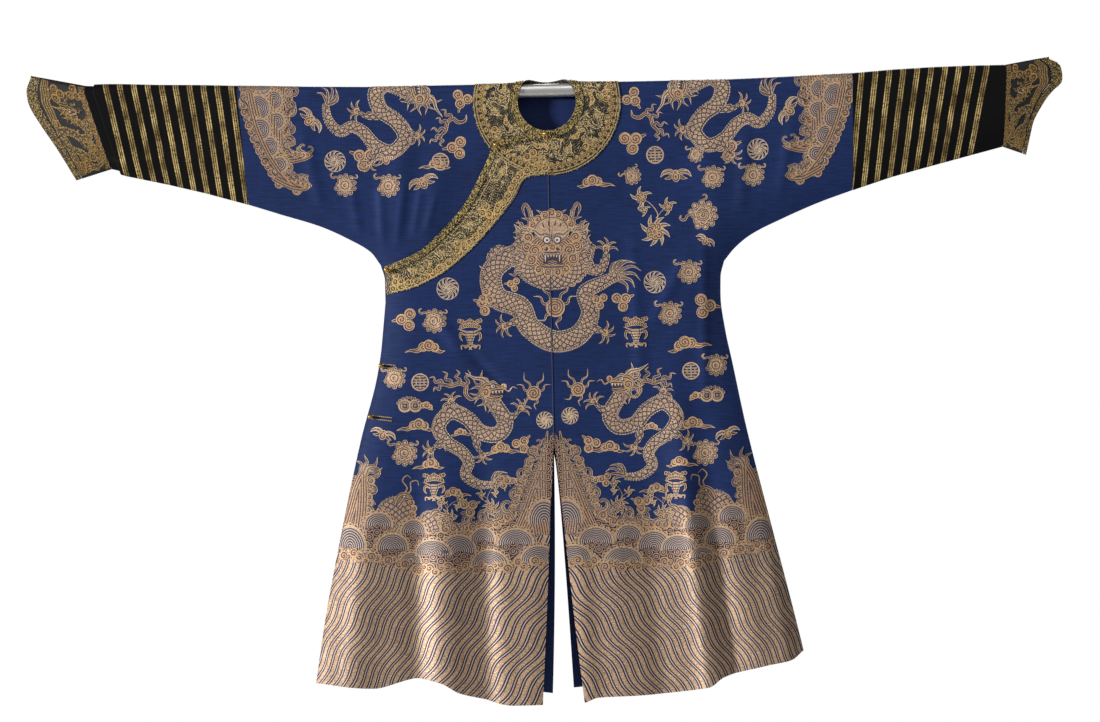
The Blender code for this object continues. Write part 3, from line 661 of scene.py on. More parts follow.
def round_band(inner, outer, layers):
    """A flat ring about the neck, from the centre front over the left shoulder, the back and the
    right shoulder to its end under the outer front. Its pattern runs round it and out from it."""
    radius = np.linspace(inner, outer, 3 if layers else 17)
    start = np.arcsin(SEAM / 2 / radius)
    tuck = np.clip((COLLAR_TUCK - NECK_CENTRE) / radius, -1.0, 1.0)
    end = 2 * math.pi - np.maximum(np.arccos(tuck), start)
    turn = start[None, :] + (end - start)[None, :] * np.linspace(0.0, 1.0, 271)[:, None]
    x, s = radius * np.sin(turn), NECK_CENTRE + radius * np.cos(turn)
    lift = ON_PANEL + ON_BAND * layers + np.where((x > 0) & (s > 0), left_front_lift(np.abs(x), s), 0.0)
    return Patch(moved_out(x, s, lift), turn * (inner + outer) / 2, radius[None, :] + 0 * x)


def ring_points(ring, swell=(), share=0.0, side=1):
    """A closed section of a sleeve or cuff: down the front from its crest and up the back."""
    radius, top, low = ring.radius + ring.out, ring.z_top + ring.out, ring.z_low - ring.out
    turns = np.linspace(0.0, math.pi / 2, 9)
    centre = top - radius
    drops = centre + (low + EDGE_GAP - centre) * (1 - (1 - np.linspace(0, 1, 35)[1:]) ** 1.25)
    z = np.concatenate([centre + radius * np.cos(turns), drops])
    down = np.clip((centre - z) / (centre - low), 0.0, 1.0)
    x = ring.x_top + (ring.x_low - ring.x_top) * down
    if swell:
        x = x + share * read(swell, down, "share", "out")
    space = read(SPACES, np.minimum(drops, 0.0), "z", "half") * radius / FOLD_RADIUS
    closed = closing(drops - drops[-1]) * (space - EDGE_GAP) + EDGE_GAP
    y = np.concatenate([radius * np.sin(turns), closed])
    front = np.stack([x, -y, z], axis=-1)
    bottom = np.array([[ring.x_low + (share * swell[-1].out if swell else 0.0), 0.0, low]])
    around = np.concatenate([front, bottom, front[::-1] * np.array([1, -1, 1])])
    return around * np.array([side, 1, 1])


def mixed(a, b, share):
    """A ring part of the way from ring a to ring b."""
    return Ring(*(p + (q - p) * share for p, q in zip(a, b)))


def moved_in(ring, distance):
    """The ring moved along its sleeve towards the shoulder."""
    return ring._replace(x_top=ring.x_top - distance, x_low=ring.x_low - distance)


def tube(rings):
    """A sleeve piece through its rings. Its pattern runs round it, from the crest, and along it."""
    grid = np.array(rings)
    across = np.linalg.norm(np.diff(grid, axis=1), axis=2)
    around = np.concatenate([np.zeros((len(grid), 1)), np.cumsum(across, axis=1)], axis=1)
    along = np.abs(grid[..., 0])
    return Patch(grid, around, along)


def between_rings(rings, step):
    """The same rings with more between them on straight lines."""
    out = [rings[0]]
    for a, b in zip(rings, rings[1:]):
        reach = max(abs(b.x_top - a.x_top), abs(b.x_low - a.x_low))
        count = max(1, math.ceil(reach / step))
        out += [mixed(a, b, (k + 1) / count) for k in range(count)]
    return out


def sleeve_start(half):
    """The first ring of the sleeve extension, just past its seam with the body."""
    rise = float(read(RISES, half.seam_top, "x", "up"))
    first = Ring(half.seam_top, FOLD_RADIUS + rise, half.seam_low, half.under[-1].z, FOLD_RADIUS, 0.0)
    return moved_in(first, SEAM / 2 - TUBE_SEAM)


def tuck_rings(ring):
    """A crosswise tuck: out to the fold, back under itself, and out again towards the cuff."""
    turn = TUCK_TURN
    outs = (4 * turn, 3 * turn, 2 * turn, 2 * turn, turn, 0.0)
    backs = (turn, 0.0, turn, TUCK_DEPTH - turn, TUCK_DEPTH, TUCK_DEPTH - turn)
    return [moved_in(ring, back)._replace(out=out) for out, back in zip(outs, backs)]


def sleeve_rings(half):
    """All the rings of one striped sleeve extension. The right one is caught in a tuck."""
    if half is LEFT:
        rings = [sleeve_start(LEFT), *SLEEVE_LEFT, moved_in(CUFF_SEAM_LEFT, TUBE_SEAM / 2)]
        return between_rings(rings, GRID_STEP)
    before = mixed(SLEEVE_RIGHT[-1], TUCK_RIGHT, 0.6)._replace(out=4 * TUCK_TURN)
    plain = between_rings([sleeve_start(RIGHT), *SLEEVE_RIGHT, before], GRID_STEP)
    return [*plain, *tuck_rings(TUCK_RIGHT), moved_in(CUFF_SEAM_RIGHT, TUBE_SEAM / 2)]


def creased(grid, half):
    """Long soft creases along a sleeve, pressed in and out of its front and back."""
    reach, z = np.abs(grid[..., 0]), grid[..., 2]
    depth = 0.0
    for at, low, drift, width, height in (
        (0.80, -0.045, 0.10, 0.012, 0.0030),
        (0.83, -0.085, 0.05, 0.016, -0.0026),
        (0.74, -0.130, 0.16, 0.014, 0.0024),
        (0.88, -0.120, -0.04, 0.011, 0.0020),
        (0.72, -0.075, -0.12, 0.012, -0.0018),
    ):
        shift = 0.012 * (1 if half is LEFT else -1)
        line = low + shift + drift * (reach - at)
        depth = depth + height * np.exp(-(((z - line) / width) ** 2) - ((reach - at) / 0.075) ** 2)
    ease = smooth((reach - half.seam_top - 0.01) / 0.03) * smooth((z + 0.19) / 0.05) * smooth(-z / 0.03)
    out = grid.copy()
    out[..., 1] += np.sign(grid[..., 1]) * depth * ease
    return out


# Shaders


def srgb(red, green, blue):
    """A screen colour of 0 to 255 as the scene's linear colour."""
    parts = [c / 255 for c in (red, green, blue)]
    return (*(c / 12.92 if c < 0.04045 else ((c + 0.055) / 1.055) ** 2.4 for c in parts), 1.0)


class Tree:
    """A material's node tree, whose one method adds a node and hands back one of its outputs."""

    def __init__(self, name, roughness=0.6, metallic=0.0):
        self.material = bpy.data.materials.new(name)
        self.material.use_nodes = True
        self.nodes, self.links = self.material.node_tree.nodes, self.material.node_tree.links
        self.shader = self.nodes["Principled BSDF"]
        self.shader.inputs["Roughness"].default_value = roughness
        self.shader.inputs["Metallic"].default_value = metallic

    def feed(self, socket, value):
        """Link a socket to a value's source, or set it."""
        if isinstance(value, Socket):
            self.links.new(value.socket, socket)
        else:
            socket.default_value = value

    def node(self, kind, settings=None, inputs=None, output=0):
        """A new node: its settings first, then the values or links of its sockets."""
        made = self.nodes.new(kind)
        for key, value in (settings or {}).items():
            if key == "stops":
                ramp = made.color_ramp
                while len(ramp.elements) < len(value):
                    ramp.elements.new(0.5)
                for element, (place, level) in zip(ramp.elements, value):
                    element.position = place
                    element.color = (level, level, level, 1.0)
            elif key == "easing":
                made.color_ramp.interpolation = value
            else:
                setattr(made, key, value)
        for key, value in (inputs or {}).items():
            self.feed(made.inputs[key], value)
        return Socket(self, made.outputs[output])

    def maths(self, operation, *values, clamp=False):
        return self.node("ShaderNodeMath", {"operation": operation, "use_clamp": clamp}, dict(enumerate(values)))

    def flat(self, layer="pattern"):
        """The two directions of the flat pattern, in metres, or of another UV map."""
        place = self.node("ShaderNodeUVMap", {"uv_map": layer})
        return self.node("ShaderNodeSeparateXYZ", {}, {0: place}), self.node(
            "ShaderNodeSeparateXYZ", {}, {0: place}, 1
        )

    def point(self, x, y, z=0.0):
        return self.node("ShaderNodeCombineXYZ", {}, {0: x, 1: y, 2: z})

    def noise(self, place, scale, detail=2.0, roughness=0.5):
        inputs = {"Vector": place, "Scale": scale, "Detail": detail, "Roughness": roughness}
        return self.node("ShaderNodeTexNoise", {}, inputs)

    def cells(self, place, scale, feature="DISTANCE_TO_EDGE", output="Distance", spread=1.0):
        settings = {"feature": feature, "voronoi_dimensions": "2D"}
        inputs = {"Vector": place, "Scale": scale, "Randomness": spread}
        return self.node("ShaderNodeTexVoronoi", settings, inputs, output)

    def staggered(self, a, b, pitch, width):
        """The distance to the nearest point of staggered rows."""
        first, second = a.repeat(pitch), b.repeat(width)
        third, fourth = (a + pitch / 2).repeat(pitch), (b + width / 2).repeat(width)
        near = (first * first + second * second).least(third * third + fourth * fourth)
        return self.maths("SQRT", near)

    def net(self, a, b, pitch, width):
        """0 on the lines of a net of diamonds, growing away from them."""
        first, second = a.repeat(pitch), b.repeat(width)
        third, fourth = (a + pitch / 2).repeat(pitch), (b + width / 2).repeat(width)
        return abs(first * first + second * second - third * third - fourth * fourth)

    def mix(self, share, a, b):
        """Colour a where share is 0, b where it is 1."""
        return self.node("ShaderNodeMix", {"data_type": "RGBA"}, {0: share, 6: a, 7: b}, 2)

    def ramp(self, value, stops, easing="B_SPLINE"):
        return self.node("ShaderNodeValToRGB", {"stops": stops, "easing": easing}, {0: value})

    def finish(self, colour=None, roughness=None, height=None, depth=0.0004, metallic=None):
        """Link what varies to the shader, and hand back the material."""
        for name, value in (("Base Color", colour), ("Roughness", roughness), ("Metallic", metallic)):
            if value is not None:
                self.feed(self.shader.inputs[name], value)
        if height is not None:
            inputs = {"Height": height, "Distance": depth, "Strength": 1.0}
            self.feed(self.shader.inputs["Normal"], self.node("ShaderNodeBump", {}, inputs))
        return self.material


class Socket:
    """A shader socket that takes part in Python expressions."""

    def __init__(self, tree, socket):
        self.tree, self.socket = tree, socket

    def __add__(self, other):
        return self.tree.maths("ADD", self, other)

    __radd__ = __add__

    def __mul__(self, other):
        return self.tree.maths("MULTIPLY", self, other)

    __rmul__ = __mul__

    def __sub__(self, other):
        return self.tree.maths("SUBTRACT", self, other)

    def __rsub__(self, other):
        return self.tree.maths("SUBTRACT", other, self)

    def __truediv__(self, other):
        return self.tree.maths("DIVIDE", self, other)

    def __rtruediv__(self, other):
        return self.tree.maths("DIVIDE", other, self)

    def __abs__(self):
        return self.tree.maths("ABSOLUTE", self)

    def sine(self):
        return self.tree.maths("SINE", self)

    def repeat(self, pitch):
        """The distance from the nearest of a row of lines, one at each whole pitch."""
        return abs(self.tree.maths("FRACT", self / pitch + 0.5) - 0.5) * pitch

    def least(self, other):
        return self.tree.maths("MINIMUM", self, other)

    def most(self, other):
        return self.tree.maths("MAXIMUM", self, other)

    def below(self, edge, blur=0.0003):
        """1 below the edge and 0 above it."""
        return self.tree.maths("MULTIPLY_ADD", edge - self, 0.5 / blur, 0.5, clamp=True)

    def above(self, edge, blur=0.0003):
        return self.tree.maths("MULTIPLY_ADD", self - edge, 0.5 / blur, 0.5, clamp=True)


# Finishes


Dyes = namedtuple("Dyes", "ground deep lining gold light shade line pale")

# The woven hem: the upper and lower boundary of its waves, as pattern rows by distance from the centre
WAVE_TOP = (
    (0.010, 0.745),
    (0.040, 0.812),
    (0.072, 0.872),
    (0.105, 0.908),
    (0.150, 0.925),
    (0.250, 0.932),
    (0.310, 0.920),
    (0.372, 0.915),
    (0.394, 0.870),
    (0.412, 0.830),
    (0.459, 0.800),
    (0.500, 0.790),
)
WAVE_LOW = (
    (0.040, 0.955),
    (0.081, 0.994),
    (0.112, 1.026),
    (0.140, 1.036),
    (0.192, 1.028),
    (0.253, 1.032),
    (0.322, 1.007),
    (0.375, 0.994),
    (0.463, 0.975),
    (0.550, 0.965),
)
ROSY = {"curl", "contour"}
WAVE_REACH = 0.55
WAVE_FROM = 0.70
STRIPE_PITCH = 0.0225
STRIPE_SLOPE = 0.786
STRIPE_SWAY = 0.0062
STRIPE_SWAY_LENGTH = 0.114


def woven_gold(tree, place, dyes):
    """The bronze of flat gold thread, speckled by its binding and a little worn."""
    patches = tree.noise(place, 13.0, 4.0, 0.65)
    flecks = tree.noise(place, 380.0, 1.0)
    thread_patches = tree.noise(place, 70.0, 4.0, 0.7)
    colour = tree.mix((patches - 0.32) * 2.4, dyes.shade, dyes.gold)
    colour = tree.mix((flecks - 0.42) * 2.6, colour, dyes.light)
    return tree.mix((thread_patches - 0.5) * 2.2, colour, dyes.shade), flecks


def silk(name, dyes, woven=True):
    """Blue silk with faint slubs. When woven, its hem carries waves and standing-water stripes."""
    tree = Tree(name, 0.66)
    tree.shader.inputs["Specular IOR Level"].default_value = 0.22
    x, s = tree.flat()
    place = tree.point(x, s)
    slubs = tree.noise(tree.point(x * 26.0, s * 330.0), 1.0, 2.0)
    bloom = tree.noise(tree.point(x * 300.0, s * 14.0), 1.0, 2.0) * 0.4 + tree.noise(place, 7.0, 3.0) * 0.6
    weave = tree.noise(tree.point(x * 900.0, s * 900.0), 1.0, 0.0)
    colour = tree.mix((slubs * 0.6 + bloom * 0.4 - 0.28) * 2.0, dyes.deep, dyes.ground)
    if not woven:
        off = s - NECK_CENTRE
        specks = abs(tree.noise(place, 210.0, 1.0) - 0.5).below(0.05, 0.03)
        facing = tree.mix(specks, srgb(12, 10, 9), srgb(150, 122, 70))
        facing = tree.mix((x * x + off * off).below(BINDING_RADIUS**2, 0.0002), colour, facing)
        return tree.finish(facing, None, weave + slubs, 0.0002)
    across, down = abs(x), abs(s)
    near = across / WAVE_REACH
    top = tree.ramp(near, [(a / WAVE_REACH, b - WAVE_FROM) for a, b in WAVE_TOP]) + WAVE_FROM
    low = tree.ramp(near, [(a / WAVE_REACH, b - WAVE_FROM) for a, b in WAVE_LOW]) + WAVE_FROM
    low_gold = dyes._replace(
        gold=dimmed(dyes.gold, 0.84), light=dimmed(dyes.light, 0.84), shade=dimmed(dyes.shade, 0.8)
    )
    gold, flecks = woven_gold(tree, place, low_gold)
    sway = ((down + 0.45 * across) * (2 * math.pi / STRIPE_SWAY_LENGTH)).sine() * STRIPE_SWAY
    line = (across + 0.45 * across * across - STRIPE_SLOPE * down - sway).repeat(STRIPE_PITCH) * 0.79
    stripes = tree.mix(line.below(0.0042, 0.0006), gold, dyes.line)
    stripes = tree.mix(line.below(0.0011, 0.0006), stripes, dyes.pale)
    rings = (tree.staggered(across, down, 0.030, 0.018) - 0.0004).repeat(0.0044)
    foam = tree.mix(rings.below(0.0011, 0.0003) * 0.95, tree.mix(0.35, gold, dyes.shade), dyes.line)
    ripple = (tree.noise(place, 30.0, 1.0) - 0.5) * 0.02
    hem = tree.mix((down - low).above(0.0, 0.0008), foam, stripes)
    in_hem = (down - top - ripple).above(0.0, 0.0008)
    colour = tree.mix(in_hem, colour, hem)
    height = weave * 0.6 + slubs * 0.6 + in_hem * (0.8 + flecks)
    return tree.finish(colour, 0.62 - in_hem * 0.14, height, 0.0003, in_hem * 0.25)


def dimmed(colour, share):
    """The same dye, darker."""
    return (*(c * share for c in colour[:3]), 1.0)


def warmer(colour):
    """The same gold in a rosier thread."""
    return (colour[0] * 1.0, colour[1] * 0.86, colour[2] * 0.66, 1.0)


def woven_ink(kind, dyes, shade="bronze"):
    """How a woven shape is filled: gold with a dark line inside its edge, and lines of its kind."""
    tree = Tree(f"woven_{shade}_{kind}", 0.5)
    x, s = tree.flat()
    along, across = tree.flat("ink")
    rim = tree.flat("rim")[0]
    if kind in ROSY:
        dyes = dyes._replace(gold=warmer(dyes.gold), light=warmer(dyes.light))
    gold, flecks = woven_gold(tree, tree.point(x, s), dyes)
    if kind in {"dark", "white"}:
        return tree.finish(tree.mix(flecks * 0.3, dyes.line if kind == "dark" else srgb(214, 208, 196), dyes.shade))
    lines = abs(rim - 2.2).below(0.9, 0.3)
    if kind == "contour":
        lines = (rim - 2.2).repeat(5.4).below(1.1, 0.3) * rim.above(1.0, 0.2)
    elif kind == "curl":
        lines = (across - along * (5.4 / (2 * math.pi))).repeat(5.4).below(1.1, 0.3) * rim.above(1.4, 0.3)
    elif kind == "rays":
        lines = across.repeat(4.2).below(0.85, 0.3) * rim.above(1.2, 0.3)
    elif kind == "bars":
        lines = lines.most(along.repeat(5.6).below(0.95, 0.3))
    elif kind == "scales":
        lines = lines.most(tree.net(along, across, 13.6, 12.0).below(18.0, 4.0))
    ground, thread = dyes.line, tree.mix(rim.below(1.0, 0.3) * (0.1 if kind == "plain" else 0.6), gold, dyes.light)
    if kind == "dome":
        inner = rim.above(6.2, 0.3)
        lines = (abs(rim - 5.4).below(0.9, 0.3)).most(inner * (rim - 7.4).repeat(4.2).above(0.85, 0.3))
        thread = tree.mix(inner * 0.55, thread, dyes.pale)
        ground = tree.mix(inner, dyes.line, dyes.deep)
    return tree.finish(
        tree.mix(lines * 0.94, thread, ground), 0.5 + lines * 0.12, flecks - lines * 1.2, 0.0003, 0.25 - lines * 0.25
    )


def dark_weave(name, dyes, ground, share, scale):
    """Black-brown brocade crossed by gold scrollwork and wave arcs."""
    tree = Tree(name, 0.5)
    x, s = tree.flat()
    place = tree.point(x, s)
    bend = tree.noise(place, 26.0, 2.0)
    curl = tree.cells(tree.point(x + bend * 0.012, s - bend * 0.012), scale, "F1")
    rings = (curl * 26.0).sine()
    leaf = tree.noise(place, scale * 1.7, 3.0, 0.6)
    gold, flecks = woven_gold(tree, place, dyes)
    mask = (rings * 0.5 + leaf * 2.0 - 1.0 + share).above(0.0, 0.16)
    colour = tree.mix(mask, ground, gold)
    return tree.finish(colour, 0.62 - mask * 0.2, mask * 1.6 + flecks * 0.5, 0.0003, mask * 0.3)


def edging(name, ground, gold):
    """Narrow black edging speckled with bright gold thread."""
    tree = Tree(name, 0.5)
    x, s = tree.flat()
    place = tree.point(x, s)
    grain = tree.noise(place, 210.0, 1.0)
    knots = tree.cells(place, 105.0)
    mask = abs(grain - 0.5).below(0.055, 0.03) * knots.above(0.05, 0.05)
    return tree.finish(tree.mix(mask, ground, gold), 0.6 - mask * 0.25, mask, 0.0004, mask * 0.4)


def striped_satin(name, ground, gold):
    """Black satin of the sleeve extensions, each gold stripe three fine broken lines that lean outwards."""
    tree = Tree(name, 0.5)
    tree.shader.inputs["Specular IOR Level"].default_value = 0.08
    around, along = tree.flat()
    place = tree.node("ShaderNodeTexCoord", {}, {}, "Object")
    z = tree.node("ShaderNodeSeparateXYZ", {}, {0: place}, 2)
    first, pitch, count = 0.660, 0.0288, 10
    run = along - z * (0.119 + 0.373 * (along - first)) - first
    near = run.repeat(pitch)
    ends = run.above(-0.5 * pitch, 0.0004) * run.below((count - 0.5) * pitch, 0.0004)
    band = near.below(0.0062, 0.0004) * ends
    broken = tree.noise(tree.point(around * 330.0, along * 90.0), 1.0, 1.0)
    lines = near.repeat(0.0044).below(0.0012, 0.0003) * band * (broken.above(0.42, 0.08) * 0.75 + 0.25)
    # Patches of the stripe thread: dimmed where it is worn, and painted brighter elsewhere as a painted highlight of
    # its shine.
    thread_patches = (tree.noise(tree.point(around * 20.0, along * 40.0), 1.0, 2.0) - 0.36) * 3.2
    sheen = tree.noise(tree.point(around * 700.0, along * 60.0), 1.0, 1.0)
    colour = tree.mix(sheen, ground, [c * 1.6 for c in ground[:3]] + [1.0])
    colour = tree.mix(band * 0.75, colour, srgb(46, 32, 20))
    thread = tree.mix(thread_patches, [c * 0.36 for c in gold[:3]] + [1.0], srgb(244, 214, 142))
    colour = tree.mix(lines, colour, thread)
    return tree.finish(colour, 0.55 - lines * 0.15 + sheen * 0.1, lines + sheen * 0.3, 0.0002, lines * 0.35)


def plain_metal(name, colour, roughness, scale, brushed=True):
    """Metal, brushed round the rod or hammered on the buttons."""
    tree = Tree(name, roughness, 1.0)
    place = tree.node("ShaderNodeTexCoord", {}, {}, "Object")
    stretch = (40.0, 900.0, 900.0) if brushed else (1.0, 1.0, 1.0)
    mapped = tree.node("ShaderNodeMapping", {}, {0: place, 3: stretch})
    grain = tree.noise(mapped, 1.0 if brushed else scale, 3.0)
    colour = tree.mix(grain * 0.5, colour, [c * 0.72 for c in colour[:3]] + [1.0])
    return tree.finish(colour, roughness + grain * 0.12, grain, 0.00005)


# Fittings


def select_where(piece, test):
    """In edit mode, select the faces whose middle passes the test."""
    shape = bmesh.from_edit_mesh(piece.data)
    for face in shape.faces:
        face.select_set(bool(test(face.calc_center_median(), face.normal)))
    bmesh.update_edit_mesh(piece.data)


def placed(piece, matrix=None):
    """Move a piece's mesh to its place and leave its object at the origin."""
    only(piece)
    if matrix is not None:
        piece.matrix_world = matrix
    bpy.ops.object.transform_apply(location=True, rotation=True, scale=True)
    return piece


def display_rod(finish):
    """The rod: a drawn tube with softened, hollow ends."""
    bpy.ops.object.select_all(action="DESELECT")
    bpy.ops.mesh.primitive_cylinder_add(
        vertices=64, radius=ROD_RADIUS, depth=2 * ROD_HALF_LENGTH, rotation=(0.0, math.pi / 2, 0.0)
    )
    tube_rod = bpy.context.object
    tube_rod.name = tube_rod.data.name = "display_rod"
    bpy.ops.object.transform_apply(rotation=True)
    bpy.ops.object.mode_set(mode="EDIT")
    bpy.ops.mesh.select_mode(type="FACE")
    select_where(tube_rod, lambda centre, normal: abs(normal.x) > 0.9)
    bpy.ops.mesh.inset(thickness=0.0012)
    for _ in range(3):
        bpy.ops.mesh.extrude_region_shrink_fatten(TRANSFORM_OT_shrink_fatten={"value": -0.012})
    bpy.ops.object.mode_set(mode="OBJECT")
    tube_rod.data.materials.append(finish)
    bevel = tube_rod.modifiers.new("softened", "BEVEL")
    bevel.width = 0.0003
    bevel.segments = 2
    apply_all(tube_rod)
    return placed(tube_rod)


def button_lift(button, x, z, above):
    """How far something lying above the outer front stands out at a button."""
    top = CLOTH / 2
    if button.layers:
        top = ON_PANEL + ON_BAND * (button.layers - 1) + BAND / 2
    return overlap_lift(x, z) + top + SEAM + above


def ball_button(button, finish):
    """A gilt ball with a raised girdle and crown, on a short shank with a flat foot."""
    bpy.ops.object.select_all(action="DESELECT")
    bpy.ops.mesh.primitive_uv_sphere_add(segments=32, ring_count=20, radius=BALL_RADIUS)
    ball = bpy.context.object
    ball.name = ball.data.name = f"ball_{button.name}"
    bpy.ops.object.mode_set(mode="EDIT")
    bpy.ops.mesh.select_mode(type="FACE")
    select_where(ball, lambda centre, normal: abs(centre.z) < 0.0007)
    bpy.ops.mesh.inset(thickness=0.00016, depth=0.00022)
    select_where(ball, lambda centre, normal: centre.z > BALL_RADIUS * 0.86)
    bpy.ops.mesh.inset(thickness=0.00016, depth=0.00022)
    select_where(ball, lambda centre, normal: centre.z < -BALL_RADIUS * 0.965)
    shape = bmesh.from_edit_mesh(ball.data)
    low = [face for face in shape.faces if face.select]
    bmesh.ops.delete(shape, geom=low, context="FACES")
    rim = [edge for edge in shape.edges if edge.is_boundary]
    for edge in shape.edges:
        edge.select_set(False)
    for edge in rim:
        edge.select_set(True)
    bmesh.update_edit_mesh(ball.data)
    foot = SHANK_LENGTH + BALL_RADIUS
    steps = ((SHANK_RADIUS, -BALL_RADIUS * 0.99), (SHANK_RADIUS, -foot + 0.0008), (SHANK_RADIUS * 1.6, -foot))
    for radius, height in steps:
        bpy.ops.mesh.extrude_edges_move()
        shape = bmesh.from_edit_mesh(ball.data)
        for vertex in shape.verts:
            if vertex.select:
                turn = math.atan2(vertex.co.y, vertex.co.x)
                vertex.co = (radius * math.cos(turn), radius * math.sin(turn), height)
        bmesh.update_edit_mesh(ball.data)
    bpy.ops.mesh.edge_face_add()
    bpy.ops.mesh.select_all(action="SELECT")
    bpy.ops.mesh.normals_make_consistent(inside=False)
    bpy.ops.object.mode_set(mode="OBJECT")
    ball.data.materials.append(finish)
    apply_all(ball, math.radians(50))
    x, z = np.array(button.x), button.z
    place = moved_out(-x, WRAP - z, button_lift(button, x, z, SEAM))
    turned = Matrix.Rotation(math.pi / 2, 4, "X")
    lifted = Matrix.Translation((0.0, 0.0, foot))
    return placed(ball, Matrix.Translation(place.tolist()) @ turned @ lifted)


def smooth_path(points, step):
    """Points along a smooth curve through the given ones, none further apart than step."""
    points = np.asarray(points, float)
    padded = np.vstack([2 * points[0] - points[1], points, 2 * points[-1] - points[-2]])
    out = []
    for a, b, c, d in zip(padded, padded[1:], padded[2:], padded[3:]):
        count = max(1, math.ceil(np.linalg.norm(c - b) / step))
        t = (np.arange(count) / count)[:, None]
        out.append(0.5 * (2 * b + (c - a) * t + (2 * a - 5 * b + 4 * c - d) * t**2 + (3 * b - a - 3 * c + d) * t**3))
    return np.vstack([*out, points[-1:]])


def corded(name, path, radius, finish, lay=0.0045, strands=2):
    """A tube along a path, its section lobed and turning like twisted cord."""
    path = np.asarray(path)
    run = np.gradient(path, axis=0)
    run /= np.linalg.norm(run, axis=1, keepdims=True)
    up = np.array([0.0, -1.0, 0.0])
    side = np.cross(run, up)
    side /= np.linalg.norm(side, axis=1, keepdims=True)
    top = np.cross(side, run)
    along = np.concatenate([[0.0], np.cumsum(np.linalg.norm(np.diff(path, axis=0), axis=1))])
    turns = np.linspace(0, 2 * math.pi, 15)
    reach = radius * (0.84 + 0.16 * np.abs(np.cos(strands * (turns[None, :] - along[:, None] / lay))))
    grid = path[:, None] + reach[..., None] * (
        np.cos(turns)[None, :, None] * side[:, None] + np.sin(turns)[None, :, None] * top[:, None]
    )
    grid = np.concatenate([path[:1, None] + 0 * grid[:1], grid, path[-1:, None] + 0 * grid[:1]])
    around = turns[None, :] * radius
    length = np.concatenate([along[:1], along, along[-1:]])[:, None]
    mesh = cloth_mesh(name, [Patch(grid, around + 0 * length, length + 0 * around)])
    cord = new_piece(name, mesh, [finish])
    bmesh_clean(cord)
    apply_all(cord, math.radians(60))
    return cord


def bmesh_clean(piece):
    """Drop faces that have no area and turn the rest of a closed shape outwards."""
    shape = bmesh.new()
    shape.from_mesh(piece.data)
    bmesh.ops.dissolve_degenerate(shape, dist=1e-7, edges=shape.edges)
    bmesh.ops.recalc_face_normals(shape, faces=shape.faces)
    shape.to_mesh(piece.data)
    shape.free()


def cord_loop(button, finish):
    """A doubled cord on the cloth, its bight round the button's shank and its ends sewn down."""
    length = math.hypot(button.run_x, button.run_z)
    along = np.array([button.run_x, button.run_z]) / length
    aside = np.array([-along[1], along[0]])
    reach = SHANK_RADIUS * 1.6 + LOOP_CORD + SEAM
    turns = np.linspace(-math.pi / 2, math.pi / 2, 7)
    round_shank = [reach * (math.sin(a) * aside - math.cos(a) * along) for a in turns]
    steps = np.linspace(length, 0.0, max(3, round(length / 0.006)))[:-1]
    first = [along * step - reach * aside for step in steps]
    second = [along * step + reach * aside for step in steps[::-1]]
    flat = smooth_path(np.array([*first, *round_shank, *second]), 0.0006) + np.array([button.x, button.z])
    x, z = flat[:, 0], flat[:, 1]
    points = moved_out(-x, WRAP - z, button_lift(button, x, z, LOOP_CORD))
    return corded(f"cord_{button.name}", points, LOOP_CORD, finish)


# Woven figures

# How a woven shape is filled: which lines are drawn in its gold
INKS = ("plain", "contour", "curl", "rays", "scales", "dome", "bars", "dark", "white")
PLAIN, CONTOUR, CURL, RAYS, SCALES, DOME, BARS, DARK, WHITE = range(9)
WOVEN_LIFT = CLOTH / 2 + 0.00028
LEVEL = 0.00003
WOVEN_EDGE = 0.0016
UNDER_BAND = 0.005
CUFF_WIDE, CUFF_TALL = 104.0, 184.0
Shape = namedtuple("Shape", "u v ink along across rim level")


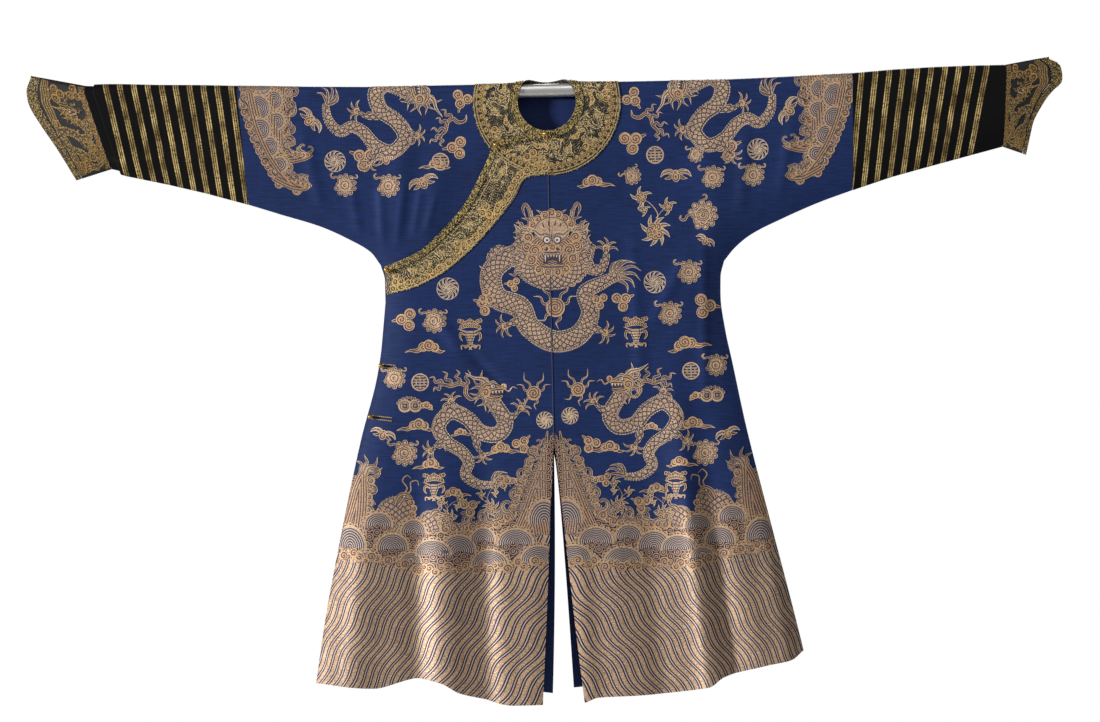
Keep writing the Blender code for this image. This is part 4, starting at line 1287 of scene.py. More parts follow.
class Figure:
    """Flat woven shapes in millimetres, u to the right and v up, each over the ones before it."""

    def __init__(self):
        self.shapes, self.base, self.count = [], 0.0, 0

    def over(self):
        """What comes next lies over everything so far."""
        self.base = max((shape.level for shape in self.shapes), default=-1.0) + 1.0
        return self

    def grid(self, u, v, along, across, rim, ink):
        self.over()
        self.shapes.append(Shape(u, v, ink, along + 0 * u, across + 0 * u, rim + 0 * u, self.base))
        self.base += 1.0
        return self

    def strip(self, points, widths, ink=PLAIN, step=4.5):
        """A band along a smooth path, its widths read along its length."""
        path = smooth_path(points, step)
        run = np.gradient(path, axis=0)
        run /= np.maximum(np.linalg.norm(run, axis=1, keepdims=True), 1e-9)
        length = np.concatenate([[0.0], np.cumsum(np.linalg.norm(np.diff(path, axis=0), axis=1))])
        share = length / length[-1]
        half = np.interp(share, np.linspace(0, 1, len(widths)), widths)[:, None] / 2
        t = np.linspace(-1, 1, 2 * math.ceil(max(widths) / 9.0) + 1)[None, :]
        u = path[:, :1] - run[:, 1:] * half * t
        v = path[:, 1:] + run[:, :1] * half * t
        return self.grid(u, v, length[:, None], half * t, half * (1 - np.abs(t)), ink)

    def disc(self, u, v, radius, ink=CURL, tall=1.0, lobes=0, depth=0.0, turn=0.0, span=(0.0, 360.0), hole=0.0):
        """A round or lobed shape, or part of one."""
        count = max(10, math.ceil(radius * math.radians(span[1] - span[0]) / 4.5), 6 * lobes)
        turns = np.radians(np.linspace(span[0], span[1], count + 1))[:, None]
        reach = radius * (1 - depth + depth * np.abs(np.cos(lobes * turns / 2)) if lobes else 1 + 0 * turns)
        t = np.linspace(hole, 1, max(2, math.ceil(radius * (1 - hole) / 5.0) + 1))[None, :]
        a, b = np.cos(turns) * reach * t, np.sin(turns) * reach * t * tall
        c, d = math.cos(math.radians(turn)), math.sin(math.radians(turn))
        edge = reach * (1 - t) if hole == 0 else reach * np.minimum(1 - t, t - hole)
        return self.grid(u + a * c - b * d, v + a * d + b * c, turns * 1.0, reach * t, edge, ink)

    def add(self, other, u=0.0, v=0.0, turn=0.0, size=1.0, flip=False):
        """Another figure's shapes, turned, sized, mirrored and moved."""
        c, d = math.cos(math.radians(turn)) * size, math.sin(math.radians(turn)) * size
        self.count += 1
        level = self.base + self.count % 3 / 3
        for shape in other.shapes:
            a = -shape.u if flip else shape.u
            self.shapes.append(
                shape._replace(
                    u=u + a * c - shape.v * d,
                    v=v + a * d + shape.v * c,
                    along=shape.along * (1.0 if shape.ink == CURL else size),
                    across=shape.across * size,
                    rim=shape.rim * size,
                    level=shape.level + level,
                )
            )
        return self

    def both(self, other, u=0.0, v=0.0, turn=0.0, size=1.0):
        """Another figure on the right and its mirror image on the left."""
        self.add(other, u, v, turn, size)
        return self.add(other, -u, v, -turn, size, flip=True)

    def fringe(self, points, size, pitch, side=1, ink=PLAIN):
        """Small teeth along one side of a path, like fins."""
        path = smooth_path(points, pitch)
        run = np.gradient(path, axis=0)
        run /= np.linalg.norm(run, axis=1, keepdims=True)
        out = np.stack([-run[:, 1], run[:, 0]], axis=1) * side
        for place, ahead, away in zip(path, run, out):
            tip = place + away * size - ahead * size * 0.55
            path = [place - away * size * 0.2, place + away * size * 0.5, tip]
            self.add(Figure().strip(path, (size, size * 0.75, 0.6), ink))
        return self


def curl(size, hook=1.0):
    """A comma of foam or cloud that rolls in on itself."""
    turns = np.linspace(0, math.pi * 1.35, 7)
    reach = size * np.linspace(1.0, 0.35, 7)
    head = [(hook * r * math.sin(a), size - r * math.cos(a)) for a, r in zip(turns, reach)]
    widths = (size * 0.5, size * 0.62, size * 0.35)
    return Figure().strip([(-0.35 * size * hook, -0.9 * size), *head], widths, PLAIN, 3.0)


def cloud(tail=1.0):
    """A small cloud: rolled heads over a drifting tail."""
    made = Figure()
    made.strip([(-16, -1), (-26, -6), (-38 * tail, -5), (-50 * tail, -9)], (11, 9, 5, 0.8), CONTOUR)
    made.strip([(14, -4), (24, -9), (34 * tail, -7)], (10, 7, 0.8), CONTOUR)
    made.disc(-12, 2, 10, CURL)
    made.disc(12, 0, 9.5, CURL)
    return made.disc(0, 5, 12, CURL)


def trefoil():
    """Three rolled heads of cloud on a short stem."""
    made = Figure().strip([(-24, 12), (-14, 8), (0, 0)], (3, 8, 10), CONTOUR)
    for u, v in ((0, -12), (13, 6), (-6, 5)):
        made.disc(u, v, 10.5, CURL)
    return made


def flame(length, sway=1.0, width=5.0):
    """A tongue of fire that ends in a point."""
    path = [(0, 0), (4 * sway, length * 0.3), (-3 * sway, length * 0.62), (5 * sway, length)]
    return Figure().strip(path, (width, width * 0.9, width * 0.5, 0.6), PLAIN, 3.0)


def pearl(radius=19.0):
    """The flaming pearl: a ringed disc among tongues of fire."""
    made = Figure()
    for turn, length, sway in ((34, 46, 1), (66, 36, -1), (-36, 46, -1), (-68, 36, 1), (150, 32, 1), (210, 32, -1)):
        a = math.radians(turn)
        made.add(flame(length, sway, 6.0), -math.sin(a) * radius * 0.8, math.cos(a) * radius * 0.8, turn * 0.8)
    return made.disc(0, 0, radius, CURL)


def wisps():
    """A ribbon of fire with five wavy tongues."""
    ribbon = [(48, -30), (34, -34), (23, -22), (24, -6), (10, 0), (-8, -5), (-26, 0)]
    made = Figure().strip(ribbon, (1.5, 7, 9, 9, 9, 8, 5), CONTOUR)
    tongues = ((23, -4, -14, 32), (8, -1, 4, 30), (-8, -4, 26, 34), (-24, -1, 62, 32), (-22, -3, 116, 26))
    for u, v, turn, length in tongues:
        path = [(sway, length * k / 4) for k, sway in enumerate((0, 5, -4, 4.5, -2))]
        made.add(Figure().strip(path, (7, 6.4, 5.4, 3.8, 0.8), PLAIN, 3.5), u, v, turn)
    return made


def blossom(petals=6, radius=13.0, ink=CONTOUR):
    """An open flower."""
    made = Figure()
    for k in range(petals):
        a = 2 * math.pi * (k + 0.25) / petals
        made.disc(radius * 0.62 * math.cos(a), radius * 0.62 * math.sin(a), radius * 0.52, ink)
    return made.disc(0, 0, radius * 0.36, CURL)


def leafy(points, width):
    """A pointed leaf."""
    return Figure().strip(points, (0.8, width, width * 0.8, 0.6), RAYS, 3.5)


def spray():
    """A spray of a peony and buds on one stem."""
    made = Figure().strip([(0, 4), (6, 30), (-8, 52), (-26, 64)], (2.2, 2.0, 1.6, 1.2))
    made.strip([(2, 22), (18, 40), (26, 44)], (1.8, 1.4, 1.2))
    for turn in (-150, -112, -70, -28, 14, 52, 100, 150):
        made.add(leafy([(0, 0), (10, 7), (24, 8), (38, 2)], 11), 0, -4, turn, 0.9)
    made.add(blossom(7, 17), 0, -6)
    for u, v, size in ((-28, 66, 0.9), (28, 46, 0.75), (-22, 40, 0.55)):
        for turn in (20, 90, 160, 250):
            made.add(leafy([(0, 0), (8, 5), (18, 5), (27, 0)], 8), u, v, turn, size)
        made.add(blossom(5, 12), u, v, 0, size)
    return made


def tied_knot():
    """A knot of ribbon with a rolled border, one of the small lucky things."""
    made = Figure()
    made.disc(0, 0, 17, CONTOUR, lobes=8, depth=0.14)
    for k in range(9):
        a = math.radians(200 + 35 * k)
        made.disc(17 * math.cos(a), 17 * math.sin(a), 4.6, PLAIN)
    made.disc(0, 0, 12, RAYS, lobes=6, depth=0.2)
    made.disc(0, 0, 5, CURL)
    return made.add(curl(7, -1), -17, 15, 50, 0.9).add(curl(6), 16, 14, -50, 0.8)


def long_life():
    """A round sign of long life, drawn as plain bars in a ring."""
    made = Figure().disc(0, 0, 17, PLAIN, hole=0.84)
    for v, half in ((10.5, 8.5), (5.2, 12), (0, 13.6), (-5.2, 12), (-10.5, 8.5)):
        made.strip([(-half, v), (0, v), (half, v)], (2.6, 2.6, 2.6), PLAIN, 8.0)
    made.strip([(0, 12.5), (0, 0), (0, -12.5)], (2.0, 2.0), PLAIN, 6.0)
    return made.strip([(-7.5, 4), (-7.5, -4)], (1.8, 1.8)).strip([(7.5, 4), (7.5, -4)], (1.8, 1.8))


def round_bird():
    """A flying crane curled into a roundel."""
    made = Figure()
    for turn in range(0, 360, 30):
        made.add(leafy([(0, 0), (5, 6), (12, 8), (17, 5)], 3.4), 0, 0, turn)
    made.strip([(-4, -3), (3, 4), (11, 3), (13, -6)], (4, 3, 2.2, 1.0))
    made.disc(-2, -2, 5, RAYS, tall=0.7, turn=40)
    return made.disc(0, 0, 18, PLAIN, hole=0.93)


def twin_coins():
    """Two linked coins with square holes, tied with ribbon."""
    made = Figure()
    for u in (-11, 11):
        made.disc(u, 0, 14, PLAIN, hole=0.78).disc(u, 0, 11, PLAIN, hole=0.1)
        for a, b in (((-4, -4), (-4, 4)), ((4, -4), (4, 4)), ((-4, 4), (4, 4)), ((-4, -4), (4, -4))):
            made.strip([(u + a[0], a[1]), (u + b[0], b[1])], (2.6, 2.6), DARK, 9.0)
    made.add(cloud(0.6), 34, -2, -8, 0.62)
    for k in range(8):
        a = math.radians(20 + 20 * k)
        made.disc(-2 + 24 * math.cos(a), 17 * math.sin(a), 3.4, PLAIN)
    return made


def vase():
    """A footed vase of blossom with ribbon handles."""
    made = Figure()
    for k in range(-4, 5):
        made.disc(k * 5.4, 27 + 3.0 * math.cos(k * 1.7), 4.8, CONTOUR, lobes=5, depth=0.15)
        made.disc(k * 4.6, 20 - 0.2 * k * k, 4.4, CONTOUR)
    made.strip([(-25, 13), (-12, 8), (0, 7), (12, 8), (25, 13)], (1.2, 3.6, 3.6, 1.2))
    made.strip([(0, 9), (0, 2), (0, -8), (0, -18)], (20, 22, 15, 10), BARS)
    for side in (-1, 1):
        made.strip([(side * 11, 0), (side * 20, 4), (side * 22, -6), (side * 17, -13)], (2.4, 5, 5, 1.2), CONTOUR)
        made.add(curl(6, side), side * 9, -26, side * 110, 0.9)
        made.strip([(0, -18), (side * 10, -23), (side * 20, -22), (side * 19, -30)], (4, 3.4, 3.0, 2.2))
    return made


def bat():
    """A bat with spread, scalloped wings."""
    made = Figure()
    wing = Figure().strip([(0, 2), (9, 9), (20, 8), (27, 0)], (7, 10, 8, 1.0), RAYS)
    wing.strip([(6, 2), (13, -2), (20, -3)], (7, 6, 1.0), CONTOUR)
    return made.both(wing).disc(0, 0, 7, CONTOUR, tall=1.3).disc(0, 8, 4.5, CURL)


def foot():
    """A dragon's foot with five hooked claws."""
    made = Figure()
    for k, turn in enumerate((-78, -40, 0, 40, 82)):
        hook = -1 if k < 2 else 1
        path = [(0, 4), (hook * 2, 14), (-hook, 21), (-hook * 6, 25)]
        made.add(Figure().strip(path, (6.0, 5.0, 4.2, 0.8), PLAIN, 3.0), 0, 0, turn)
    return made.disc(0, 3, 6.8, CURL)


def leg(points, width, turn):
    """A scaled leg that ends in a clawed foot, with a tuft at its elbow."""
    middle = points[len(points) // 2]
    made = Figure().add(flame(24, 1, 7), *middle, turn + 130).add(flame(20, -1, 6), *middle, turn + 165)
    made.add(foot(), *points[-1], turn)
    return made.strip(points, (width, width * 0.85, width * 0.5), SCALES)


def fronds(lengths, first, last, width=5.0):
    """A fan of long curved tapering fronds."""
    made = Figure()
    for length, turn in zip(lengths, np.linspace(first, last, len(lengths))):
        bend = length * 0.16
        path = [(0, 0), (length * 0.35, bend), (length * 0.75, bend * 1.15), (length, -bend * 0.4)]
        made.add(Figure().strip(path, (width * 0.8, width, width * 0.7, 0.6), PLAIN, 4.0), 0, 0, turn)
    return made


def scaled_body(points, widths, side=1, fins=5.5):
    """A serpent's body: scales, a row of belly plates and fins along its back."""
    path = smooth_path(points, 6.0)
    run = np.gradient(path, axis=0)
    run /= np.linalg.norm(run, axis=1, keepdims=True)
    out = np.stack([-run[:, 1], run[:, 0]], axis=1)
    half = np.interp(np.linspace(0, 1, len(path)), np.linspace(0, 1, len(widths)), widths)[:, None] / 2
    made = Figure().fringe(path + out * half * side * 0.96, fins, 7.0, side)
    made.strip(points, widths, SCALES)
    belly = path - out * half * side * 0.74
    return made.strip(belly, [w * 0.2 + 0.6 for w in widths], BARS)


def dragon_face():
    """A dragon's face seen from the front, its mane flaming round it."""
    made, side = Figure(), Figure()
    for k in range(7):
        turn = 20 + 13 * k
        a = math.radians(turn)
        side.add(flame(40 - 2 * abs(k - 3), (-1) ** k, 12), 46 * math.sin(a), -2 + 38 * math.cos(a), -turn)
    side.strip([(22, 30), (40, 42), (46, 62), (54, 76), (60, 66), (54, 48)], (9, 9, 8, 7, 6, 1), PLAIN)
    side.add(leafy([(0, 0), (12, 6), (24, 4), (38, 14)], 13), 44, 14, 10)
    made.both(side)
    bowl = [(-62, 24), (-72, -14), (-58, -58), (-30, -80), (0, -86), (30, -80), (58, -58), (72, -14), (62, 24)]
    made.add(Figure().fringe([(u * 1.19, v * 1.17 + 2) for u, v in bowl[1:-1]], 7, 7, -1))
    made.over().strip(bowl, (4, 22, 30, 34, 34, 30, 22, 4), SCALES)
    for k in range(6):
        made.both(Figure().add(flame(26, (-1) ** k, 10)), 54 + 2.5 * k, 22 - 17 * k, -44 - 14 * k)
    made.over()
    for u, v, radius in ((0, 57, 9), (-14, 52, 9), (14, 52, 9), (-28, 44, 9), (28, 44, 9), (-40, 32, 8), (40, 32, 8)):
        made.add(Figure().disc(u, v, radius, CURL))
    made.disc(0, -26, 56, CONTOUR, tall=0.8)
    made.disc(0, 20, 37, PLAIN, tall=0.78)
    part = Figure()
    for u, v, radius in ((50, 6, 11), (52, -14, 13), (36, -22, 14), (44, -40, 12), (28, -62, 10), (10, -68, 9)):
        part.disc(u, v, radius, CURL)
    part.strip([(3, 8), (12, 13), (24, 11), (36, 20), (46, 18)], (7, 10, 9, 7, 1), RAYS)
    part.strip([(6, 30), (8, 40)], (3, 1), DARK).strip([(17, 28), (20, 36)], (3, 1), DARK)
    part.disc(11, 0, 8.6, DARK).disc(11, 0, 6.2, WHITE).disc(10.4, -0.6, 2.6, DARK)
    made.both(part)
    made.strip([(0, 12), (0, 2), (0, -8), (0, -16)], (5, 6, 9, 14), PLAIN)
    made.disc(0, -16, 10, CURL, tall=0.8)
    made.both(Figure().disc(12, -18, 7, CURL).disc(12, -20, 2.6, DARK))
    made.strip([(-30, -36), (-24, -26), (0, -27), (24, -26), (30, -36)], (4, 6, 6, 6, 4), PLAIN)
    made.strip([(-19, -41), (0, -42), (19, -41)], (18, 20, 18), DARK)
    made.strip([(-9, -47), (0, -48), (9, -47)], (4, 9, 4), CONTOUR)
    for u, deep in ((-15, 14), (-9, 5), (-3.2, 4), (3.2, 4), (9, 5), (15, 14)):
        made.add(Figure().strip([(u, -32), (u, -32 - deep / 2), (u * 0.98, -32 - deep)], (2.8, 2.2, 0.7), WHITE, 3.0))
    made.over().strip([(-27, -48), (-22, -56), (0, -57), (22, -56), (27, -48)], (4, 6, 7, 6, 4), PLAIN)
    whisker = Figure().strip([(14, -23), (34, -30), (54, -30), (66, -18), (84, -22)], (3, 4, 3.6, 3, 1), PLAIN)
    return made.both(whisker)


def front_dragon():
    """The five-clawed dragon of the chest, seen from the front over its coiled body and pearl."""
    made = Figure()
    made.add(fronds((44, 52, 60, 64, 60, 50, 40), -38, 72, 8), 124, -84)
    made.add(leg([(72, -62), (98, -66), (112, -44), (113, -22)], 22, -5))
    made.add(leg([(-84, -34), (-110, -16), (-132, -34), (-128, -54)], 18, 175))
    body = [(-40, -30), (-92, -38), (-126, -70), (-116, -116), (-68, -138), (-48, -180), (0, -210)]
    body += [(50, -198), (74, -156), (64, -112), (100, -90), (136, -74)]
    made.over().add(scaled_body(body, (34, 38, 40, 40, 40, 40, 40, 38, 34, 30, 24, 14), -1, 7))
    made.over().add(leg([(-52, -178), (-78, -170), (-100, -178)], 20, 112))
    made.add(leg([(60, -196), (88, -190), (104, -196)], 20, -112))
    made.add(pearl(20), 4, -142)
    for u, v, turn, size in ((-84, -92, 20, 0.7), (44, -84, -20, 0.7), (96, -130, 10, 0.8), (-142, -118, 60, 0.8)):
        made.add(trefoil(), u, v, turn, size)
    return made.over().add(dragon_face())


def side_face():
    """A dragon's head in profile, facing right with open jaws."""
    made = Figure()
    for k in range(9):
        made.add(flame(44 - 2.2 * abs(k - 4), (-1) ** k, 10), -10 + 1.2 * k, 10 - 3.4 * k, 24 + 19 * k)
    made.add(flame(24, 1, 8), 6, -16, 190).add(flame(20, -1, 7), 12, -18, 205)
    made.strip([(-4, 10), (-18, 24), (-38, 28), (-58, 40)], (8, 8, 6, 1), RAYS)
    made.strip([(-16, -8), (-2, -17), (14, -19), (26, -15)], (13, 11, 9, 4), CONTOUR)
    made.strip([(-6, -8), (10, -9), (28, -8)], (8, 10, 5), DARK)
    for u in (4, 11, 18, 25):
        made.add(Figure().strip([(u, -3), (u, -6), (u + 0.8, -9)], (3.6, 3, 0.7), WHITE, 3.0))
    made.over().strip([(-20, -2), (-8, 5), (8, 5), (22, 2), (32, 5)], (22, 27, 19, 13, 9), CONTOUR)
    made.disc(31, 8, 7, CURL).disc(-12, -6, 11, CURL)
    made.disc(4, 7, 6.4, DARK, tall=0.8).disc(4, 7, 4.6, WHITE, tall=0.8).disc(5, 7, 2, DARK)
    made.strip([(-6, 14), (4, 17), (14, 12)], (4, 6, 1.5), RAYS)
    return made.strip([(30, 2), (42, -4), (50, 6), (60, 2)], (3.2, 3.4, 2.8, 0.8))


def side_dragon():
    """A dragon in profile, its neck rising from two coils and its tail fronds below."""
    made = Figure()
    made.add(fronds((34, 42, 46, 42, 34), -30, 60, 7), 0, -214)
    made.add(leg([(-60, -66), (-76, -40), (-90, -26)], 15, 30))
    body = [(-8, -6), (16, -40), (34, -76), (14, -104), (-26, -98), (-56, -66), (-92, -52), (-118, -82)]
    body += [(-100, -116), (-68, -138), (-52, -164), (-60, -192), (-34, -212), (0, -214)]
    made.over().add(scaled_body(body, (26, 30, 32, 32, 30, 30, 30, 28, 26, 24, 22, 20, 17, 10), -1, 6))
    made.over().add(leg([(34, -72), (52, -60), (66, -46)], 15, -35))
    made.add(leg([(-40, -100), (-36, -128), (-22, -146)], 14, 190))
    made.add(leg([(-104, -108), (-124, -122), (-136, -136)], 13, 110))
    return made.over().add(side_face())


# Where each woven figure lies on the front: millimetres from the middle of the rod, turn and size
Place = namedtuple("Place", "make x z turn size flip", defaults=(0.0, 1.0, False))
FRONT_PLACES = rows(
    Place,
    (front_dragon, 5, -315, 0, 1.0),
    (pearl, -40, -636, 0, 0.78),
    (pearl, 53, -630, 0, 0.78),
    (side_dragon, -130, -627, 0, 0.92),
    (side_dragon, 148, -616, 0, 0.92, True),
    (trefoil, -139, -449, 0, 1.0),
    (trefoil, 151, -446, 0, 1.0, True),
    (vase, 177, -514),
    (vase, -171, -511),
    (round_bird, -18, -693),
    (round_bird, 35, -685),
    (round_bird, -216, -413, 0, 1.3),
    (round_bird, 219, -408, 0, 1.3),
    (long_life, -278, -608, 0, 1.1),
    (long_life, 291, -596, 0, 1.1),
    (twin_coins, -300, -657),
    (twin_coins, 334, -648, 0, 1.0, True),
    (trefoil, -305, -477, 30, 1.1),
    (tied_knot, -246, -480, 0, 1.2),
    (cloud, -258, -536, 0, 1.0),
    (tied_knot, -331, -598, 0, 1.1),
    (tied_knot, 291, -388, 0, 1.2),
    (tied_knot, 249, -474, 0, 1.2),
    (trefoil, 325, -461, -30, 1.2, True),
    (cloud, 280, -541, 8, 1.1, True),
    (tied_knot, 344, -585, 0, 1.1),
    (spray, 222, -296),
    (tied_knot, 323, -269, 45, 1.5),
    (cloud, 92, -196, 0, 0.95, True),
    (bat, 326, -325, -30, 0.8),
    (wisps, -206, -612, 0, 1.0),
    (wisps, 206, -614, 0, 1.0, True),
    (bat, -358, -719, -20, 1.0),
    (bat, 366, -732, 20, 1.0),
    (tied_knot, -314, -756, 0, 1.3),
    (tied_knot, 317, -768, 0, 1.3),
    (vase, -252, -830, 0, 0.9),
    (vase, 254, -836, 0, 0.9),
    (cloud, -282, -700, 0, 0.95),
    (cloud, 292, -708, 0, 0.95, True),
    (cloud, -258, -782, 0, 0.8),
    (cloud, 262, -788, 0, 0.8, True),
    (cloud, -112, -752, 0, 0.9, True),
    (cloud, 118, -754, 0, 0.9),
    (trefoil, -66, -742, 20, 0.9, True),
    (trefoil, 76, -744, -20, 0.9),
    (bat, -80, -822, 0, 0.7),
    (bat, 86, -822, 0, 0.7),
    (cloud, -196, -716, 0, 0.6, True),
    (cloud, 206, -712, 0, 0.6),
)
SHOULDER_PLACES = rows(
    Place,
    (side_dragon, -262, -2, -84, 0.94, True),
    (cloud, -232, -152, 0, 0.8),
    (trefoil, -192, -118, 30, 1.1),
    (bat, -500, -58, -50, 1.2),
    (round_bird, -447, -142, 0, 1.25),
    (trefoil, -388, -136, 0, 1.2),
    (bat, -340, -140, 20, 1.1),
    (long_life, -226, -146, 0, 1.1),
    (wisps, -214, -72, 60, 0.9),
    (wisps, 222, -70, -60, 0.9, True),
    (tied_knot, -427, -192, 0, 1.15),
    (tied_knot, -336, -194, 0, 1.15),
    (bat, -262, -192, 20, 1.2),
    (trefoil, -178, -18, 100, 1.0),
    (side_dragon, 272, -2, 84, 0.94),
    (trefoil, 178, -112, 0, 1.2, True),
    (long_life, 225, -141, 0, 1.1),
    (bat, 268, -188, 0, 1.2),
    (tied_knot, 310, -142, 0, 0.8),
    (trefoil, 378, -132, 0, 1.2, True),
    (round_bird, 441, -135, 0, 1.25),
    (tied_knot, 345, -190, 0, 1.15),
    (tied_knot, 430, -188, 0, 1.15),
    (bat, 510, -58, 60, 1.2),
    (tied_knot, 176, -184, 30, 0.9),
    (trefoil, 180, -22, -80, 1.0, True),
)
# The standing domes of water: distance from the centre, foot, half width and height
DOMES = (
    (371, -906, 30, 28),
    (298, -922, 30, 28),
    (153, -942, 30, 28),
    (24, -905, 34, 46),
    (84, -950, 38, 32),
    (206, -964, 36, 36),
    (258, -968, 38, 30),
    (344, -955, 34, 33),
    (430, -951, 34, 44),
    (472, -930, 22, 30),
    (38, -988, 38, 34),
    (140, -995, 42, 34),
    (305, -985, 26, 22),
    (395, -982, 26, 22),
)


def dome(wide, tall):
    """A mound of water, its arcs inside a rim of foam."""
    made = Figure()
    for k in range(9):
        a = math.radians(8 + 20.5 * k)
        made.add(Figure().disc(1.02 * wide * math.cos(a), 1.02 * tall * math.sin(a), 5.6, CURL))
    return made.disc(0, 0, wide, DOME, tall=tall / wide, span=(-8, 188))


def crest(points, size, lean=1):
    """Rolled, clawed heads of foam along a path."""
    made, path = Figure(), smooth_path(points, size * 1.5)
    for k, (u, v) in enumerate(path):
        tall = size * (1.0, 1.5, 1.2, 0.8)[k % 4]
        hook = lean if k % 3 else -lean
        made.add(curl(tall, hook), u, v, -12 * hook)
    for k, (u, v) in enumerate(path):
        made.add(Figure().disc(u + 0.4 * size, v - 0.7 * size, size * (0.75, 0.9)[k % 2], CURL))
    return made


def shell_mound():
    """A scaly mound in the sea with a small horned head that looks inwards."""
    made = Figure()
    for turn in (42, 8):
        horn = [(0, 0), (-5, 16), (6, 30), (-2, 42), (-12, 36)]
        made.add(Figure().strip(horn, (3.4, 3.0, 2.6, 2.2, 0.8), PLAIN, 3.0), -16, 48, turn)
    made.strip([(-38, -4), (-20, 4), (0, 7), (20, 4), (38, -4)], (22, 66, 78, 66, 22), SCALES)
    made.add(Figure().fringe([(38, 4), (30, 26), (10, 40), (-12, 38)], 6, 7.0, -1))
    for u, v, radius in ((-34, 6, 8), (-38, 20, 7), (-32, 32, 7)):
        made.disc(u, v, radius, CURL)
    made.strip([(0, 26), (-12, 44), (-22, 46), (-34, 38)], (16, 20, 16, 6), CONTOUR)
    return made.disc(-17, 45, 3.4, DARK).disc(-17, 45, 1.8, WHITE)


def water():
    """Half of the woven sea above the standing stripes."""
    made = Figure()
    made.add(crest([(84, -880), (118, -900), (160, -906), (210, -908), (258, -910), (312, -902)], 11))
    made.add(shell_mound(), 334, -892).add(shell_mound(), 262, -905, 10, 0.6)
    made.over().add(crest([(84, -868), (68, -826), (52, -786), (36, -748)], 9))
    made.over().strip([(50, -930), (40, -860), (29, -800), (17, -742), (13, -716)], (84, 52, 32, 14, 3), CONTOUR)
    made.over().add(crest([(398, -915), (388, -880), (384, -840), (380, -806)], 9, 1))
    made.over().strip([(434, -940), (418, -880), (407, -820), (396, -784)], (58, 50, 38, 14), CONTOUR)
    for turn, length in ((-30, 34), (4, 40), (44, 44), (78, 38)):
        made.add(flame(length, 1, 12), 396, -798, turn)
    for k in range(9):
        made.add(curl(8, 1), 22 + 6.4 * k, -752 - 16 * k, -50)
    for k in range(7):
        made.add(curl(8, 1), 14 + 3.4 * k, -742 - 19 * k, -40)
    made.over()
    for k, (u, v, wide, tall) in enumerate(DOMES):
        made.add(dome(wide, tall), u, v)
    made.over()
    for k in range(40):
        u = 34 + 11.4 * k
        drop = 6 * math.sin(k * 1.9)
        v = -1000 + 0.00020 * (u - 230) ** 2 + drop if u < 300 else -990 + 0.16 * (u - 300) + drop
        made.add(Figure().disc(u, v, 8.6 + 2 * math.sin(k * 2.3), CURL))
    made.over()
    for u, v, turn, size in ((104, -820, 20, 0.7), (180, -872, 0, 0.9)):
        made.add(trefoil(), u, v, turn, size)
    made.add(spray(), 134, -872, -10, 0.62).add(spray(), 226, -892, 12, 0.62)
    return made.add(cloud(), 214, -842, 0, 0.75)


def seam_water():
    """The crescent of waves at the outer end of a sleeve, on the wearer's left."""
    made = Figure()
    made.add(crest([(540, 26), (536, -20), (548, -60), (540, -96), (558, -140), (545, -176), (524, -196)], 11, -1))
    made.over().add(crest([(630, 26), (632, -20), (622, -62), (606, -104), (584, -148), (562, -184)], 10, 1))
    made.over().strip([(586, 60), (590, 0), (586, -60), (574, -120), (552, -184)], (80, 82, 64, 40, 8), CONTOUR)
    made.strip([(566, -124), (536, -134), (508, -134), (494, -128)], (40, 30, 16, 6), CONTOUR)
    made.strip([(566, -172), (538, -192), (512, -198), (498, -190)], (34, 24, 16, 6), CONTOUR)
    made.add(crest([(552, -116), (528, -122), (502, -124)], 7)).add(crest([(548, -168), (524, -182), (504, -188)], 7))
    for u, v, wide, tall in (
        (600, 20, 34, 30),
        (604, -30, 34, 30),
        (572, -14, 26, 24),
        (602, -76, 30, 28),
        (568, -58, 24, 24),
        (584, -112, 28, 26),
        (564, -150, 22, 24),
    ):
        made.add(dome(wide, tall), u, v, 70, 0.8)
    return made


def woven_lift(x, s):
    """How far the uppermost cloth's middle stands out from its panel."""
    z, away = height_of(np.abs(s)), np.abs(x)
    below = z < read(LAPEL, away, "x_top", "z_top")
    on_right = np.where(below, overlap_lift(away, z), 0.0)
    return np.where(s < 0, 0.0, np.where(x >= 0, left_front_lift(away, s), on_right))


def under_bands(x, s):
    """Whether the collar ring or the lapel band covers the cloth there."""
    z, away = height_of(s), np.abs(x)
    ring = np.hypot(x, s - NECK_CENTRE) < COLLAR_RADIUS - UNDER_BAND
    top, low = read(LAPEL, away, "x_top", "z_top"), read(LAPEL, away, "x_low", "z_low")
    return ring | ((x < 0) & (s > 0) & (z < top - UNDER_BAND) & (z > low + UNDER_BAND))


def kept_on(x, s):
    """Pattern points moved in from the edges of the cloth, so that they lie on it."""
    away, down, edge = np.abs(x), np.abs(s), WOVEN_EDGE
    for half, mine in ((RIGHT, x < 0), (LEFT, x >= 0)):
        z, low = height_of(down), float(flat_of(half.side[0].z))
        side = np.where(z < half.side[0].z, read(half.side, z, "z", "x") - edge, 9.0)
        for face, facing, top in ((FRONT, s >= 0, FRONT_SLIT_TOP), (BACK, s < 0, BACK_SLIT_TOP)):
            slit = np.where(z < top, inner_edge(half, face, z, down) + edge, 0.0)
            away = np.where(mine & facing, np.maximum(away, slit), away)
        seam = half.seam_top + (half.seam_low - half.seam_top) * np.clip((down - WRAP) / (low - WRAP), 0, 1)
        away = np.where(mine, np.minimum(away, np.minimum(side, seam - edge)), away)
        bottom = np.where(away > half.side[0].x, flat_of(read(half.under, away, "x", "z")) - edge, 9.0)
        down = np.where(mine & (z > half.side[0].z), np.minimum(down, bottom), down)
    return np.copysign(away, x), np.copysign(down, s)


